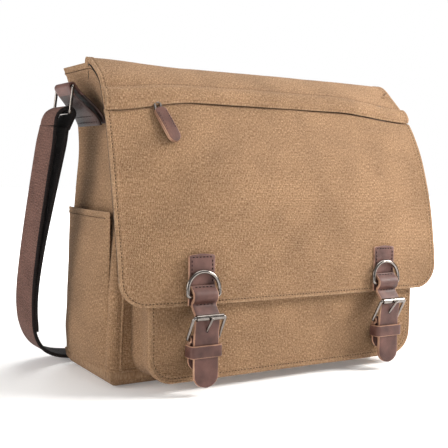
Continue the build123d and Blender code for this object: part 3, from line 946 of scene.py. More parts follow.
@dataclass(frozen=True)
class Flap:
    """The front flap: yoke with its zip cover, front panel, rolled edge and lining."""

    shape: FlapShape = field(default_factory=FlapShape)
    canvas: float = 1.7 * MM
    lip_height: float = 282.6 * MM
    seam_height: float = 300.0 * MM
    corner: float = 27 * MM
    hinge_start: tuple[float, float, float] = (0, 0.0615, 0.317)
    hinge_end: tuple[float, float, float] = (0, 0.038, 0.321)

    @cached_property
    def lip(self) -> float:
        """Share of the outline at which the zip cover ends."""
        return self.shape.share_at(self.lip_height)

    @cached_property
    def seam(self) -> float:
        """Share of the outline at which the zip cover is sewn on."""
        return self.shape.share_at(self.seam_height)

    @property
    def run(self) -> float:
        """Length of the outline from the back seam to the hem."""
        return self.shape.profiles[1].length

    def droop(self, x: float) -> float:
        """Share by which the zip cover hangs lower towards the ends."""
        ends = ramp(0.48, 1.0, abs(x) / self.shape.half)
        return (0.040 if x < 0 else 0.012) * ends

    def yoke_surface(self, x: float, y: float) -> Vector:
        """Smooth shape of the yoke, whose zip cover stands over the zip with a rolled lip."""
        length = self.lip * self.run
        share = y / length * (self.lip + self.droop(x))
        point = self.shape.at(x, share)
        out = self._out(x, share)
        seam, lip = self.seam + 0.8 * self.droop(x), self.lip + self.droop(x)
        cover = ramp(seam - 0.004, seam + 0.012, share)
        swell = math.sin(math.pi * min(1.0, max(0.0, (share - seam) / (lip - seam))))
        roll = ramp(lip - 0.010, lip, share)
        rise = 0.0022 * cover + 0.0024 * swell - 0.0022 * roll
        return point + out * rise

    def front_surface(self, x: float, y: float) -> Vector:
        """Smooth shape of the front panel, tucked under the zip cover along its top."""
        lip = self.lip + self.droop(x) - 0.004
        length = (1 - self.lip) * self.run
        share = lip + (1 - lip) * y / length
        point = self.shape.at(x, share)
        tuck = 1 - ramp(0.0, 0.0050, y)
        belly = math.sin(math.pi * min(1.0, y / length)) * (1 - (x / self.shape.half) ** 2)
        return point + self._out(x, share) * (0.0018 * belly - 0.0022 * tuck)

    def lining_surface(self, x: float, y: float) -> Vector:
        """Smooth shape of the lining, seen from the flap's inner side."""
        share = y / self.run
        return self.shape.at(-x, share) - self._out(-x, share) * 0.0064

    def _out(self, x: float, share: float) -> Vector:
        """Outward direction of the flap's outline."""
        step = 0.004
        down = self.shape.at(x, min(share + step, 1)) - self.shape.at(x, max(share - step, 0))
        return down.cross(Vector((1, 0, 0))).normalized()

    def build(self) -> None:
        """Make the flap's cloth and its stitching."""
        half = self.shape.half
        yoke = Cloth(self.yoke_surface, half, self.lip * self.run, 200, 130, SIDES_AND_HEM, seed=0.7)
        front = Cloth(
            self.front_surface,
            half,
            (1 - self.lip) * self.run,
            210,
            150,
            SIDES_AND_HEM,
            corner=self.corner,
            seed=2.1,
        )
        yoke_piece = yoke.build("yoke", self.canvas, [Finish.CANVAS], "", "canvas")
        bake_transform(yoke_piece)
        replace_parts(yoke_piece, "flap_yoke")
        front_piece = front.build("flap_front_cloth", self.canvas, [Finish.CANVAS], "flap", "canvas")
        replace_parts(front_piece, "flap_front")
        self._rolled_edge(front)
        self._lining()
        self._stitching(yoke, front)

    def _rolled_edge(self, front: Cloth) -> None:
        """The turned hem's inner roll, a soft cord just behind the flap's outline."""
        mesh = bmesh.new()
        inset = 2.3 * MM
        line = front.row(inset, SIDES_AND_HEM)[-1]
        count = 260
        points = []
        for index in range(count + 1):
            point, out = front.at(*line.at(line.length * index / count).xy)
            points.append(point - out * 3.0 * MM)
        top = self.lip * self.run
        for side in (-1, 1):
            drawn = []
            for index in range(70):
                y = mix(0.10, 1.0, index / 69) * top
                x = side * (self.shape.half - inset)
                share = y / top * (self.lip + self.droop(x))
                drawn.append(self.shape.at(x, share) - self._out(x, share) * 2.4 * MM)
            points = list(reversed(points)) + list(reversed(drawn)) if side > 0 else drawn + points
        tube(mesh, self._even(points), 2.1 * MM, 10)
        made = piece("flap_rolled_edge", mesh, [Finish.PIPING], "flap")
        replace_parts(made, "flap_edge")

    @staticmethod
    def _even(points: list[Vector]) -> list[Vector]:
        """The points with close neighbours dropped."""
        kept = [points[0]]
        for point in points[1:]:
            if (point - kept[-1]).length > 1.2 * MM:
                kept.append(point)
        return kept

    def _lining(self) -> None:
        """Black lining behind the canvas."""
        lining = Cloth(
            self.lining_surface,
            self.shape.half - 1.6 * MM,
            self.run - 2 * MM,
            90,
            150,
            SIDES_AND_HEM,
            corner=self.corner,
            seed=4.4,
            slack=1.4 * MM,
        )
        made = lining.build("flap_lining_cloth", 0.7 * MM, [Finish.LINING], "", "lining")
        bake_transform(made)
        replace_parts(made, "flap_lining")

    def _stitching(self, yoke: Cloth, front: Cloth) -> None:
        """Thread along the hems, the zip cover's seam and its sides."""
        hem, pale = bmesh.new(), bmesh.new()
        front.sew(hem, front.row(front.inset))
        seam_y = (self.seam - 0.006) / self.lip * yoke.length
        reach = yoke.half - 4 * MM
        yoke.sew_across(pale, -reach, reach, seam_y, 0.7 * MM)
        start = 0.16 * yoke.length
        for side in (-1, 1):
            x = side * (yoke.half - yoke.inset)
            yoke.sew(pale, [Course([(x, start, 0), (x, yoke.length, 0)], smooth=False)])
        piece("flap_stitching", hem, [Finish.THREAD], "flap")
        piece("yoke_stitching", pale, [Finish.TAN_THREAD], "flap")


# ---------------------------------------------------------------- body


@dataclass(frozen=True)
class BodyShape:
    """The sagging canvas shell: its outline at each height, seen from above."""

    back_y: float = 59.5 * MM
    seam_inset: float = 11 * MM
    round_off: float = 7 * MM
    base_round: float = 16 * MM
    seam_height: float = 18 * MM

    @cached_property
    def side_course(self) -> Course:
        """Half-width against height, up the side."""
        drawn = [(184, 0), (187.5, 18), (187, 50), (185.5, 87), (183.5, 130), (180, 171)]
        drawn += [(177, 223), (177.5, 262), (183, 290), (190.5, 314), (193.0, 322)]
        return Course([(0, z * MM, x * MM) for x, z in drawn])

    @cached_property
    def front_course(self) -> Course:
        """Front face's place against height."""
        drawn = [(-62, 0), (-64, 18), (-64.5, 60), (-64, 120)]
        drawn += [(-62.5, 165), (-56, 225), (-46, 270), (-31, 303)]
        return Course([(0, z * MM, y * MM) for y, z in drawn])

    def half_at(self, height: float) -> float:
        """Half-width at a height."""
        return self.side_course.at(self.side_course.where(1, max(height, 0.1 * MM))).z

    def front_at(self, height: float) -> float:
        """Front face's Y at a height."""
        return self.front_course.at(self.front_course.where(1, min(max(height, 0.1 * MM), 0.3025))).z

    def mouth(self, y: float, side: int) -> float:
        """Height of the mouth beside the flap, where the left gusset stands up past the flap's end."""
        back = 320 * MM if side < 0 else 314 * MM
        return mix(302 * MM, back, ramp(-50 * MM, -6 * MM, y))


@dataclass(frozen=True)
class Panel:
    """Lookup tables that turn a height into the outline there, so that panels are quick to make."""

    shape: BodyShape
    steps: int = 320
    top: float = 0.322

    @cached_property
    def halves(self) -> list[float]:
        """Half-width at even heights."""
        return [self.shape.half_at(self.top * step / self.steps) for step in range(self.steps + 1)]

    @cached_property
    def fronts(self) -> list[float]:
        """Front face's Y at even heights."""
        return [self.shape.front_at(self.top * step / self.steps) for step in range(self.steps + 1)]

    def read(self, table: list[float], height: float) -> float:
        """Value of a table at a height."""
        place = min(max(height / self.top, 0.0), 0.99999) * self.steps
        low = int(place)
        return mix(table[low], table[low + 1], place - low)

    def side(self, height: float) -> float:
        """Half-width at a height."""
        return self.read(self.halves, height)

    def front(self, height: float) -> float:
        """Front face's Y at a height."""
        return self.read(self.fronts, height)


@dataclass(frozen=True)
class Body:
    """The canvas body: front, back, two gussets, bottom, stitching and seam cords."""

    shape: BodyShape = field(default_factory=BodyShape)
    canvas: float = 2.2 * MM

    @cached_property
    def panel(self) -> Panel:
        """The outline tables."""
        return Panel(self.shape)

    def front_surface(self, x: float, y: float) -> Vector:
        """Smooth shape of the front panel."""
        height = 302 * MM - y
        seam = 177 * MM
        half = self.panel.side(height) - self.shape.seam_inset
        belly = 1.5 * MM * math.cos(0.5 * math.pi * min(1.0, abs(x) / seam))
        return Vector((x / seam * half, self.panel.front(height) - belly, height))

    def back_surface(self, x: float, y: float) -> Vector:
        """Smooth shape of the back panel, seen from behind."""
        height = 314 * MM - y
        seam = 177 * MM
        half = self.panel.side(height) - self.shape.seam_inset
        return Vector((-x / seam * half, self.shape.back_y, height))

    def gusset_surface(self, side: int, x: float, y: float) -> Vector:
        """Smooth shape of a gusset, seen from its own side.

        Args:
            side: -1 for the left gusset, 1 for the right one.
            x: Flat distance to the right of its middle.
            y: Flat distance down from the mouth.

        Returns:
            The place.
        """
        round_off, lead = self.shape.round_off, self.shape.seam_inset - self.shape.round_off
        half_flat = self.gusset_half
        forward = (half_flat + side * -x) / (2 * half_flat)
        back, guess = self.shape.back_y, 311 * MM - y
        front = self.panel.front(guess)
        mouth = self.shape.mouth(mix(front, back, 1 - forward), side)
        height = 18 * MM + (mouth - 18 * MM) * (1 - y / self.gusset_length)
        front, half = self.panel.front(height), self.panel.side(height)
        arc = math.pi / 2 * round_off
        total = 2 * lead + 2 * arc + (back - front - 2 * round_off)
        travel = forward * total
        waist = ramp(0.16, 0.30, height) * (1 - ramp(0.292, 0.316, height))
        pinch = 5 * MM * waist * math.sin(math.pi * forward) ** 2
        marks = (lead, lead + arc, total - lead - arc, total - lead)
        if travel < marks[0]:
            x_at, y_at = half - round_off - lead + travel, back
        elif travel < marks[1]:
            angle = (travel - marks[0]) / round_off
            x_at, y_at = half - round_off * (1 - math.sin(angle)), back - round_off * (1 - math.cos(angle))
        elif travel < marks[2]:
            x_at, y_at = half - pinch, back - round_off - (travel - marks[1])
        elif travel < marks[3]:
            angle = (travel - marks[2]) / round_off
            x_at, y_at = half - round_off * (1 - math.cos(angle)), front + round_off * (1 - math.sin(angle))
        else:
            x_at, y_at = half - round_off - (travel - marks[3]), front
        return Vector((side * x_at, y_at, height))

    @property
    def gusset_half(self) -> float:
        """Half of a gusset's flat width."""
        return 69 * MM

    @property
    def gusset_length(self) -> float:
        """A gusset's flat height."""
        return 290 * MM

    def bottom_surface(self, x: float, y: float) -> Vector:
        """Smooth shape of the bottom, seen from below, rising at its edges to the base seam."""
        front, back = self.panel.front(18 * MM), self.shape.back_y
        half_deep = (back - front) / 2
        middle = (back + front) / 2
        y_flat = half_deep - y
        margin = min(half_deep - abs(y_flat), self.panel.side(18 * MM) - abs(x))
        curl = 1 - min(1.0, max(0.0, margin) / self.shape.base_round)
        rise = self.shape.seam_height * (1 - math.sqrt(max(0.0, 1 - curl**2.4)))
        return Vector((-x, middle + y_flat, 0.4 * MM + rise))

    def build(self) -> None:
        """Make the body."""
        seam = 177 * MM
        front = Cloth(self.front_surface, seam, 284 * MM, 90, 90, (Edge.TOP,), seed=6.0)
        back = Cloth(self.back_surface, seam, 296 * MM, 110, 110, (Edge.TOP,), seed=7.0)
        for cloth, name, node in ((front, "front_cloth", "front_panel"), (back, "back_cloth", "back_panel")):
            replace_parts(cloth.build(name, self.canvas, [Finish.CANVAS], "root", "canvas"), node)
        thread = bmesh.new()
        for y in (4 * MM, 11 * MM):
            back.sew_across(thread, 2 * MM - seam, seam - 2 * MM, y)
        self._back_zip_frame(back, thread)
        for side_name, side in SIDES.items():
            self._gusset(side_name, side, thread)
        self._bottom()
        piece("body_stitching", thread, [Finish.THREAD], "root")
        self._seam_cords()

    def _back_zip_frame(self, back: Cloth, thread: bmesh.types.BMesh) -> None:
        """Stitches round the back pocket's zip."""
        low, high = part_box("back_zip_chain")
        middle_z = (low.z + high.z) / 2
        for offset in (-10 * MM, 10 * MM):
            back.sew_across(thread, low.x, high.x, 314 * MM - middle_z + offset)

    def _gusset(self, side_name: str, side: int, thread: bmesh.types.BMesh) -> None:
        """One side panel with its top hem.

        Args:
            side_name: The side's name.
            side: -1 for the left, 1 for the right.
            thread: The mesh that takes the stitches.
        """
        cloth = Cloth(
            lambda x, y: self.gusset_surface(side, x, y),
            self.gusset_half,
            self.gusset_length,
            80,
            120,
            (Edge.TOP,),
            seed=8.0 + side,
            slack=1.8 * MM,
            hem_rise=0.9 * MM,
        )
        made = cloth.build(f"gusset_{side_name}_cloth", self.canvas, [Finish.CANVAS], "root", "canvas")
        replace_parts(made, f"gusset_{side_name}")
        cloth.sew(thread, cloth.row(5.5 * MM, (Edge.TOP,)))

    def _bottom(self) -> None:
        """The bottom panel."""
        front, back = self.panel.front(18 * MM), self.shape.back_y
        half = self.panel.side(18 * MM)
        cloth = Cloth(self.bottom_surface, half, back - front, 130, 70, ALL_ROUND, seed=9.5, slack=0.3 * MM)
        made = cloth.build("bottom_cloth", self.canvas, [Finish.CANVAS], "root", "canvas")
        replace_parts(made, "bottom_panel")

    def _seam_cords(self) -> None:
        """Bound seams: up the four upright seams and round the base."""
        mesh = bmesh.new()
        for side in SIDES.values():
            panels = (self.front_surface, 283 * MM, -1), (self.back_surface, 295 * MM, 1)
            for surface, end, toward in panels:
                out = Vector((0, toward * 0.6 * MM, 0))
                drops = [mix(2 * MM, end, step / 89) for step in range(90)]
                tube(mesh, [surface(side * 177 * MM, y) + out for y in drops], 1.5 * MM, 8)
        around = []
        height = 18 * MM
        front, back, half = self.panel.front(height), self.shape.back_y, self.panel.side(height)
        corner = self.shape.round_off
        for centre_x, centre_y, begin in (
            (half - corner, back - corner, 0),
            (corner - half, back - corner, 90),
            (corner - half, front + corner, 180),
            (half - corner, front + corner, 270),
        ):
            for step in range(7):
                angle = math.radians(begin + 15 * step)
                reach = Vector((math.cos(angle), math.sin(angle), 0)) * corner
                around.append(Vector((centre_x, centre_y, height)) + reach)
        tube(mesh, self._subdivided(around), 1.5 * MM, 8, closed=True)
        piece("body_seam_cords", mesh, [Finish.PIPING], "root")

    @staticmethod
    def _subdivided(points: list[Vector]) -> list[Vector]:
        """The closed line with its long sides divided."""
        drawn = []
        for start, end in zip(points, points[1:] + points[:1]):
            count = max(1, round((end - start).length / (6 * MM)))
            drawn += [start.lerp(end, step / count) for step in range(count)]
        return drawn


@dataclass(frozen=True)
class Inside:
    """What the bag holds: lining, padded laptop sleeve and stiff base board."""

    body: Body
    gap: float = 4.5 * MM
    wall: float = 1.0 * MM

    def lining_surface(self, x: float, y: float) -> Vector:
        """Smooth shape of the lining's wall, unrolled round the bag, seen from inside."""
        panel, shape = self.body.panel, self.body.shape
        turn = -x / self.half_round
        reach = abs(turn) * 2
        back = shape.back_y - self.gap
        height = mix(310 * MM, 10 * MM, y / self.depth)
        half = panel.side(height) - self.gap - 3 * MM * ramp(0.16, 0.30, height)
        front = panel.front(min(height, 300 * MM)) + self.gap
        width, deep = half, back - front
        total = 2 * width + deep
        travel = reach / 2 * total
        round_off = 12 * MM
        if travel < width:
            place = (travel, front)
        elif travel < width + deep:
            place = (width, front + travel - width)
        else:
            place = (width - (travel - width - deep), back)
        mouth = shape.mouth(place[1], 1 if turn > 0 else -1) - 3 * MM
        height = mix(mouth, 9 * MM, y / self.depth)
        corner = abs(place[0] - width) + min(abs(place[1] - front), abs(place[1] - back))
        pull = 0.30 * max(0.0, round_off - corner)
        middle = Vector((0, (front + back) / 2))
        toward = (middle - Vector(place)).normalized() * pull
        return Vector((math.copysign(place[0] + toward.x, turn), place[1] + toward.y, height))

    @property
    def half_round(self) -> float:
        """Half of the lining's flat width, from the middle of the front to the middle of the back."""
        return 490 * MM

    @property
    def depth(self) -> float:
        """The lining's flat height."""
        return 300 * MM

    def build(self) -> None:
        """Make the lining, the board and the sleeve."""
        mesh = self._wall()
        made = piece("lining_bag", mesh, [Finish.LINING], "root", closed=False)
        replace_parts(made, "lining")
        solid = made.modifiers.new("thickness", "SOLIDIFY")
        solid.thickness = self.wall
        solid.offset = 1.0
        self._board()
        self._sleeve()

    def _wall(self) -> bmesh.types.BMesh:
        """The lining's open bag: its wall drawn up from a floor."""
        mesh = bmesh.new()
        layout = mesh.loops.layers.uv.new(CLOTH_UV)
        bmesh.ops.create_grid(mesh, x_segments=180, y_segments=60, size=0.5)
        places = {}
        for vert in mesh.verts:
            places[vert] = (2 * vert.co.x * self.half_round, (0.5 - vert.co.y) * self.depth)
        for face in mesh.faces:
            for loop in face.loops:
                x, y = places[loop.vert]
                loop[layout].uv = (x + self.half_round, self.depth - y)
        for vert, (x, y) in places.items():
            point = self.lining_surface(x, y)
            sag = ripple(Vector((x, y, 0)), 0.060, 1.2 * MM, 12.0)
            vert.co = point + Vector((sag, sag, 0))
        bmesh.ops.remove_doubles(mesh, verts=mesh.verts, dist=0.3 * MM)
        rim = [edge for edge in mesh.edges if edge.is_boundary and max(v.co.z for v in edge.verts) < 0.05]
        floor = bmesh.ops.extrude_edge_only(mesh, edges=rim)["geom"]
        for vert in (item for item in floor if isinstance(item, bmesh.types.BMVert)):
            vert.co = Vector((vert.co.x * 0.93, mix(vert.co.y, -2 * MM, 0.15), 7.5 * MM))
        inner = [item for item in floor if isinstance(item, bmesh.types.BMEdge) and item.is_boundary]
        bmesh.ops.contextual_create(mesh, geom=inner)
        return mesh

    def _board(self) -> None:
        """The stiff board in the floor."""
        low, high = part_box("base_board")
        mesh = bmesh.new()
        bar(mesh, low, high, 0.7 * MM)
        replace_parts(piece("stiff_board", mesh, [Finish.BOARD], "root"), "base_board")

    def _sleeve(self) -> None:
        """The padded sleeve: a quilted front wall swollen by its foam, on the back lining."""
        low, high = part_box("laptop_sleeve")
        pad = 6 * MM
        mesh = bmesh.new()
        start = Vector((low.x + 1.5 * MM, low.y + 1.2 * MM, low.z + 1.5 * MM))
        end = Vector((high.x - 1.5 * MM, low.y + pad - 1.2 * MM, high.z - 1.5 * MM))
        bar(mesh, start, end, 1.6 * MM)
        made = piece("sleeve_front_pad", mesh, [Finish.PADDING], "root")
        self._swell(made)
        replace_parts(made, "laptop_sleeve")
        sides = bmesh.new()
        for x in (low.x + pad / 2, high.x - pad / 2):
            bar(
                sides,
                Vector((x - pad / 2 + 0.3 * MM, low.y + pad + 0.3 * MM, low.z)),
                Vector((x + pad / 2 - 0.3 * MM, high.y - 0.4 * MM, high.z - 1 * MM)),
                1.8 * MM,
            )
        bar(
            sides,
            Vector((low.x + pad, low.y + pad + 0.3 * MM, low.z)),
            Vector((high.x - pad, high.y - 0.4 * MM, low.z + pad)),
            1.8 * MM,
        )
        edges = piece("sleeve_side_pads", sides, [Finish.PADDING], "root")
        binding = bmesh.new()
        places = [mix(low.x + 2 * MM, high.x - 2 * MM, step / 60) for step in range(61)]
        top = [Vector((x, low.y + pad / 2, high.z - 1 * MM)) for x in places]
        tube(binding, top, 2.6 * MM, 12)
        piece("sleeve_binding", binding, [Finish.WEBBING_BACK], "root")

    def _swell(self, pad: bpy.types.Object) -> None:
        """Blow up a pad's cover by cloth simulation and keep the result as its mesh."""
        remesh = pad.modifiers.new("remesh", "REMESH")
        remesh.mode = "VOXEL"
        remesh.voxel_size = 5 * MM
        self._apply(pad)
        before = [vert.co.copy() for vert in pad.data.vertices]
        cloth = pad.modifiers.new("cloth", "CLOTH")
        cloth.settings.use_pressure = True
        cloth.settings.uniform_pressure_force = 4.0
        cloth.settings.effector_weights.gravity = 0.0
        cloth.settings.tension_stiffness = 25
        cloth.settings.compression_stiffness = 25
        for frame_number in range(1, 15):
            bpy.context.scene.frame_set(frame_number)
        self._apply(pad)
        for vert, start in zip(pad.data.vertices, before):
            move = vert.co - start
            if move.length > 2.5 * MM:
                vert.co = start + move.normalized() * 2.5 * MM
        bpy.context.scene.frame_set(1)
        for face in pad.data.polygons:
            face.use_smooth = True

    @staticmethod
    def _apply(made: bpy.types.Object) -> None:
        """Make the modifiers' result the object's own mesh."""
        graph = bpy.context.evaluated_depsgraph_get()
        done = bpy.data.meshes.new_from_object(made.evaluated_get(graph))
        made.modifiers.clear()
        made.data = done


# ---------------------------------------------------------------- pockets


@dataclass(frozen=True)
class FrontPocket:
    """The box pocket under the flap: face, bellows, piping and stitching."""

    corner: float = 25 * MM
    cloth: float = 1.8 * MM
    half: float = 164 * MM
    pressed: float = 9 * MM

    def recess(self, x: float, height: float) -> float:
        """How far the flap presses the face back, most at its upper left corner."""
        return self.pressed * ramp(0.45, 1.0, -x / self.half) * ramp(55 * MM, 150 * MM, height)

    def build(self) -> None:
        """Make the pocket."""
        low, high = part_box("front_pocket_face")
        half, length = high.x, high.z - low.z
        face_y = low.y

        def face_surface(x: float, y: float) -> Vector:
            """Smooth shape of the face, which bulges a little."""
            belly = math.cos(0.5 * math.pi * x / half) * math.sin(math.pi * y / length)
            return Vector((x, face_y + 0.6 * MM - 0.5 * MM * belly + self.recess(x, high.z - y), high.z - y))

        face = Cloth(
            face_surface, half, length, 150, 60, SIDES_AND_HEM, self.corner, seed=14.0, slack=0.9 * MM
        )
        made = face.build("pocket_face_cloth", self.cloth, [Finish.CANVAS], "root", "canvas")
        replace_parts(made, "front_pocket_face")
        self._bellows(face)
        mesh = bmesh.new()
        line = face.row(0.2 * MM)[-1]
        points = []
        for step in range(261):
            place, out = face.at(*line.at(line.length * step / 260).xy)
            points.append(place - out * 1.4 * MM)
        tube(mesh, points, 1.9 * MM, 10)
        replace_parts(piece("pocket_piping", mesh, [Finish.PIPING], "root"), "front_pocket_piping")
        thread = bmesh.new()
        face.sew(thread, face.row(face.inset))
        piece("pocket_stitching", thread, [Finish.THREAD], "root")

    def _bellows(self, face: Cloth) -> None:
        """The strip from the face back to the front panel, with one soft fold."""
        low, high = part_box("front_pocket_bellows")
        line = face.row(0.0)[-1]
        deep = high.y - low.y
        half = line.length / 2

        def surface(x: float, y: float) -> Vector:
            """Smooth shape of the strip, seen from outside the pocket."""
            flat = line.at(half - x)
            ahead = line.at(half - x + 1 * MM) - line.at(half - x - 1 * MM)
            inward = Vector((ahead.y, 0, ahead.x)).normalized()
            fold = 2.6 * MM * math.sin(math.pi * y / deep) ** 2
            pressed = self.recess(flat.x, high.z - flat.y) * (1 - y / deep)
            return Vector((flat.x, low.y + y + pressed, high.z - flat.y)) + inward * fold

        strip = Cloth(surface, half, deep, 200, 26, (), seed=15.0, slack=1.0 * MM)
        made = strip.build("pocket_bellows_cloth", self.cloth, [Finish.CANVAS], "root", "canvas")
        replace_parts(made, "front_pocket_bellows")


@dataclass(frozen=True)
class SidePocket:
    """A shallow patch pocket over the lower part of a gusset."""

    side_name: str
    side: int
    cloth: float = 1.6 * MM

    def build(self, thread: bmesh.types.BMesh) -> None:
        """Make the pocket.

        Args:
            thread: The mesh that takes its stitches.
        """
        low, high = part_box(f"side_pocket_{self.side_name}")
        outer = max(abs(low.x), abs(high.x))
        depth = abs(high.x - low.x)
        half, length = (high.y - low.y) / 2 + 4 * MM, high.z - low.z + 0.5 * MM
        middle = (high.y + low.y) / 2 + 0.5 * MM

        def surface(x: float, y: float) -> Vector:
            """Smooth shape: flush along its seams, full in its middle, a little open at its mouth."""
            across = math.cos(0.5 * math.pi * x / half) ** 0.55 if abs(x) < half else 0.0
            down = 1 - 0.62 * ramp(0.5, 1.0, 1 - y / length) - 0.55 * ramp(0.80, 1.0, y / length)
            lean = 2.5 * MM * ramp(0.0, 1.0, 1 - y / length)
            stand = (depth + 0.5 * MM) * across * down
            reach = outer - depth - 1 * MM - lean + stand
            return Vector((self.side * reach, middle + self.side * x, high.z - y))

        seed, slack = 17.0 + self.side, 1.6 * MM
        cloth = Cloth(surface, half, length, 80, 90, (Edge.TOP,), seed=seed, slack=slack, hem_rise=0.8 * MM)
        name = f"side_pocket_{self.side_name}_cloth"
        made = cloth.build(name, self.cloth, [Finish.CANVAS], "root", "canvas")
        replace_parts(made, f"side_pocket_{self.side_name}")
        cloth.sew(thread, cloth.row(6.5 * MM, (Edge.TOP,)))


# ---------------------------------------------------------------- leather straps and buckles


@dataclass(frozen=True)
class BuckleStrap:
    """One closing strap: patch and billet on the flap, buckle tab, keeper and magnetic snap."""

    side_name: str
    side: int
    leather: float = 2.2 * MM
    billet_thick: float = 3.0 * MM

    @cached_property
    def middle(self) -> float:
        """X of the strap's middle."""
        low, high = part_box(f"strap_patch_{self.side_name}")
        return (low.x + high.x) / 2

    def _line(self, points: list[tuple[float, float]], smooth: bool = True) -> Course:
        """Course in the strap's own plane from Y and Z in millimetres."""
        return Course([(self.middle, y * MM, z * MM) for y, z in points], smooth)

    def build(self, thread: bmesh.types.BMesh) -> None:
        """Make the strap's leather and dress its metal.

        Args:
            thread: The mesh that takes its stitches.
        """
        self._patch(thread)
        self._billet(thread)
        self._tab()
        self._keeper()
        for node in ("d_ring", "buckle_frame", "roller", "prong"):
            dress(f"{node}_{self.side_name}", Finish.NICKEL)
        for node in ("snap_stud", "snap_socket"):
            dress(f"{node}_{self.side_name}", Finish.SNAP)

    def _leather(self, mesh: bmesh.types.BMesh, name: str, node: str) -> None:
        """Finish a leather piece that stands for a node."""
        made = piece(f"{name}_{self.side_name}", mesh, [Finish.LEATHER, Finish.CUT_EDGE], "flap")
        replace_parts(made, f"{node}_{self.side_name}")

    def _patch(self, thread: bmesh.types.BMesh) -> None:
        """Square patch sewn to the flap, the ring's anchor."""
        low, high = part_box(f"strap_patch_{self.side_name}")
        lie = (low.y + high.y) / 2 / MM + 0.1
        top, bottom = high.z / MM, low.z / MM
        course = self._line([(lie + 0.5, top), (lie + 0.2, top - 6), (lie, top - 20), (lie, bottom)])
        half = (high.x - low.x) / 2
        patch = Ribbon(course, ACROSS, tongue(half, course.length, 2.2 * MM), self.leather, 0.7 * MM)
        mesh = bmesh.new()
        patch.add(mesh, 1.0 * MM)
        self._leather(mesh, "patch", "strap_patch")
        inset = 3.2 * MM
        rows = [((-half + inset, inset), (half - inset, inset))]
        rows += [((x, inset + 2 * MM), (x, 28 * MM)) for x in (-half + inset, half - inset)]
        rows += [((-half + inset, 43 * MM), (half - inset, 43 * MM))]
        for start, end in rows:
            self._row(thread, patch, start, end)

    def _row(
        self,
        thread: bmesh.types.BMesh,
        strip: Ribbon,
        start: tuple[float, float],
        end: tuple[float, float],
    ) -> None:
        """Stitch a straight row on a strip's front, between two flat places."""
        run = Vector(end) - Vector(start)

        def line(distance: float) -> tuple[Vector, Vector]:
            """Place on the strip at a distance along the row."""
            x, along = Vector(start) + run.normalized() * distance
            return strip.on_face(along, x, self._front(strip))

        stitches(thread, line, run.length, 3.9 * MM, 1.2 * MM)

    @staticmethod
    def _front(strip: Ribbon) -> int:
        """Which face of a strip looks to the front."""
        return 1 if strip.station(strip.course.length / 2)[2].y < 0 else -1

    @cached_property
    def billet_course(self) -> Course:
        """The billet: from the patch over the ring's bar, down behind the roller, over the buckle's bar."""
        drawn = [(-115.7, 106), (-116.2, 103.6), (-119.2, 101.2), (-121.6, 98.6), (-122.0, 95.6)]
        drawn += [(-120.8, 92.4), (-118.2, 89.6), (-118.6, 86.0), (-121.6, 82.4), (-124.6, 78.8)]
        drawn += [(-125.2, 75.6), (-124.7, 70)]
        drawn += [(-123.8, 62), (-123.4, 54), (-123.3, 40), (-123.6, 24), (-124.2, 9)]
        return self._line(drawn)

    def _billet(self, thread: bmesh.types.BMesh) -> None:
        """The billet with its rounded tip, its stitches and a near-black disc of painted shade for the
        prong's slot.
        """
        course = self.billet_course
        half = 13.5 * MM
        ends = tongue(half, course.length, 0, 12 * MM)
        billet = Ribbon(course, ACROSS, ends, self.billet_thick, 0.8 * MM)
        mesh = bmesh.new()
        billet.add(mesh, 0.9 * MM)
        self._leather(mesh, "billet", "billet")
        for height in (104.2, 88.2):
            at = course.where(2, height * MM)
            self._row(thread, billet, (-half + 3.4 * MM, at), (half - 3.4 * MM, at))
        # The prong's slot is not cut. A flat near-black disc set just proud of the front face is painted
        # shade for the dark inside of the hole.
        dark = bmesh.new()
        front = self._front(billet)
        at = course.where(2, 65 * MM)
        centre, out = billet.on_face(at, 0.0, front)
        _, across, _ = billet.station(at)
        turn = Matrix((across, out.cross(across), out)).transposed().to_4x4()
        shape = Matrix.Diagonal((1.9 * MM, 4.6 * MM, 0.5 * MM, 1))
        where = Matrix.Translation(centre - out * 0.32 * MM) @ turn @ shape
        bmesh.ops.create_uvsphere(dark, u_segments=20, v_segments=10, radius=1.0, matrix=where)
        piece(f"billet_hole_{self.side_name}", dark, [Finish.LINING], "flap")

    def _tab(self) -> None:
        """The tab folded round the buckle's bar, with the snap's stud behind it."""
        low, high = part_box(f"buckle_tab_{self.side_name}")
        bar_y, bar_z, wrap = -117.6, 55.0, 2.9
        back = high.y / MM - 1.15
        turn = [
            (bar_y - wrap * math.sin(math.radians(angle)), bar_z + wrap * math.cos(math.radians(angle)))
            for angle in range(-40, 171, 30)
        ]
        drawn = [(back, low.z / MM + 0.5), (back, 32), (back, 44), (back, 52)]
        drawn += [*turn, (-116.6, 46.0), (-116.3, 41)]
        course = self._line(drawn)
        half = (high.x - low.x) / 2
        ends = tongue(half, course.length, 12 * MM, 1 * MM)
        tab = Ribbon(course, ACROSS, ends, self.leather, 0.6 * MM)
        mesh = bmesh.new()
        tab.add(mesh, 0.9 * MM)
        self._leather(mesh, "buckle_tab", "buckle_tab")

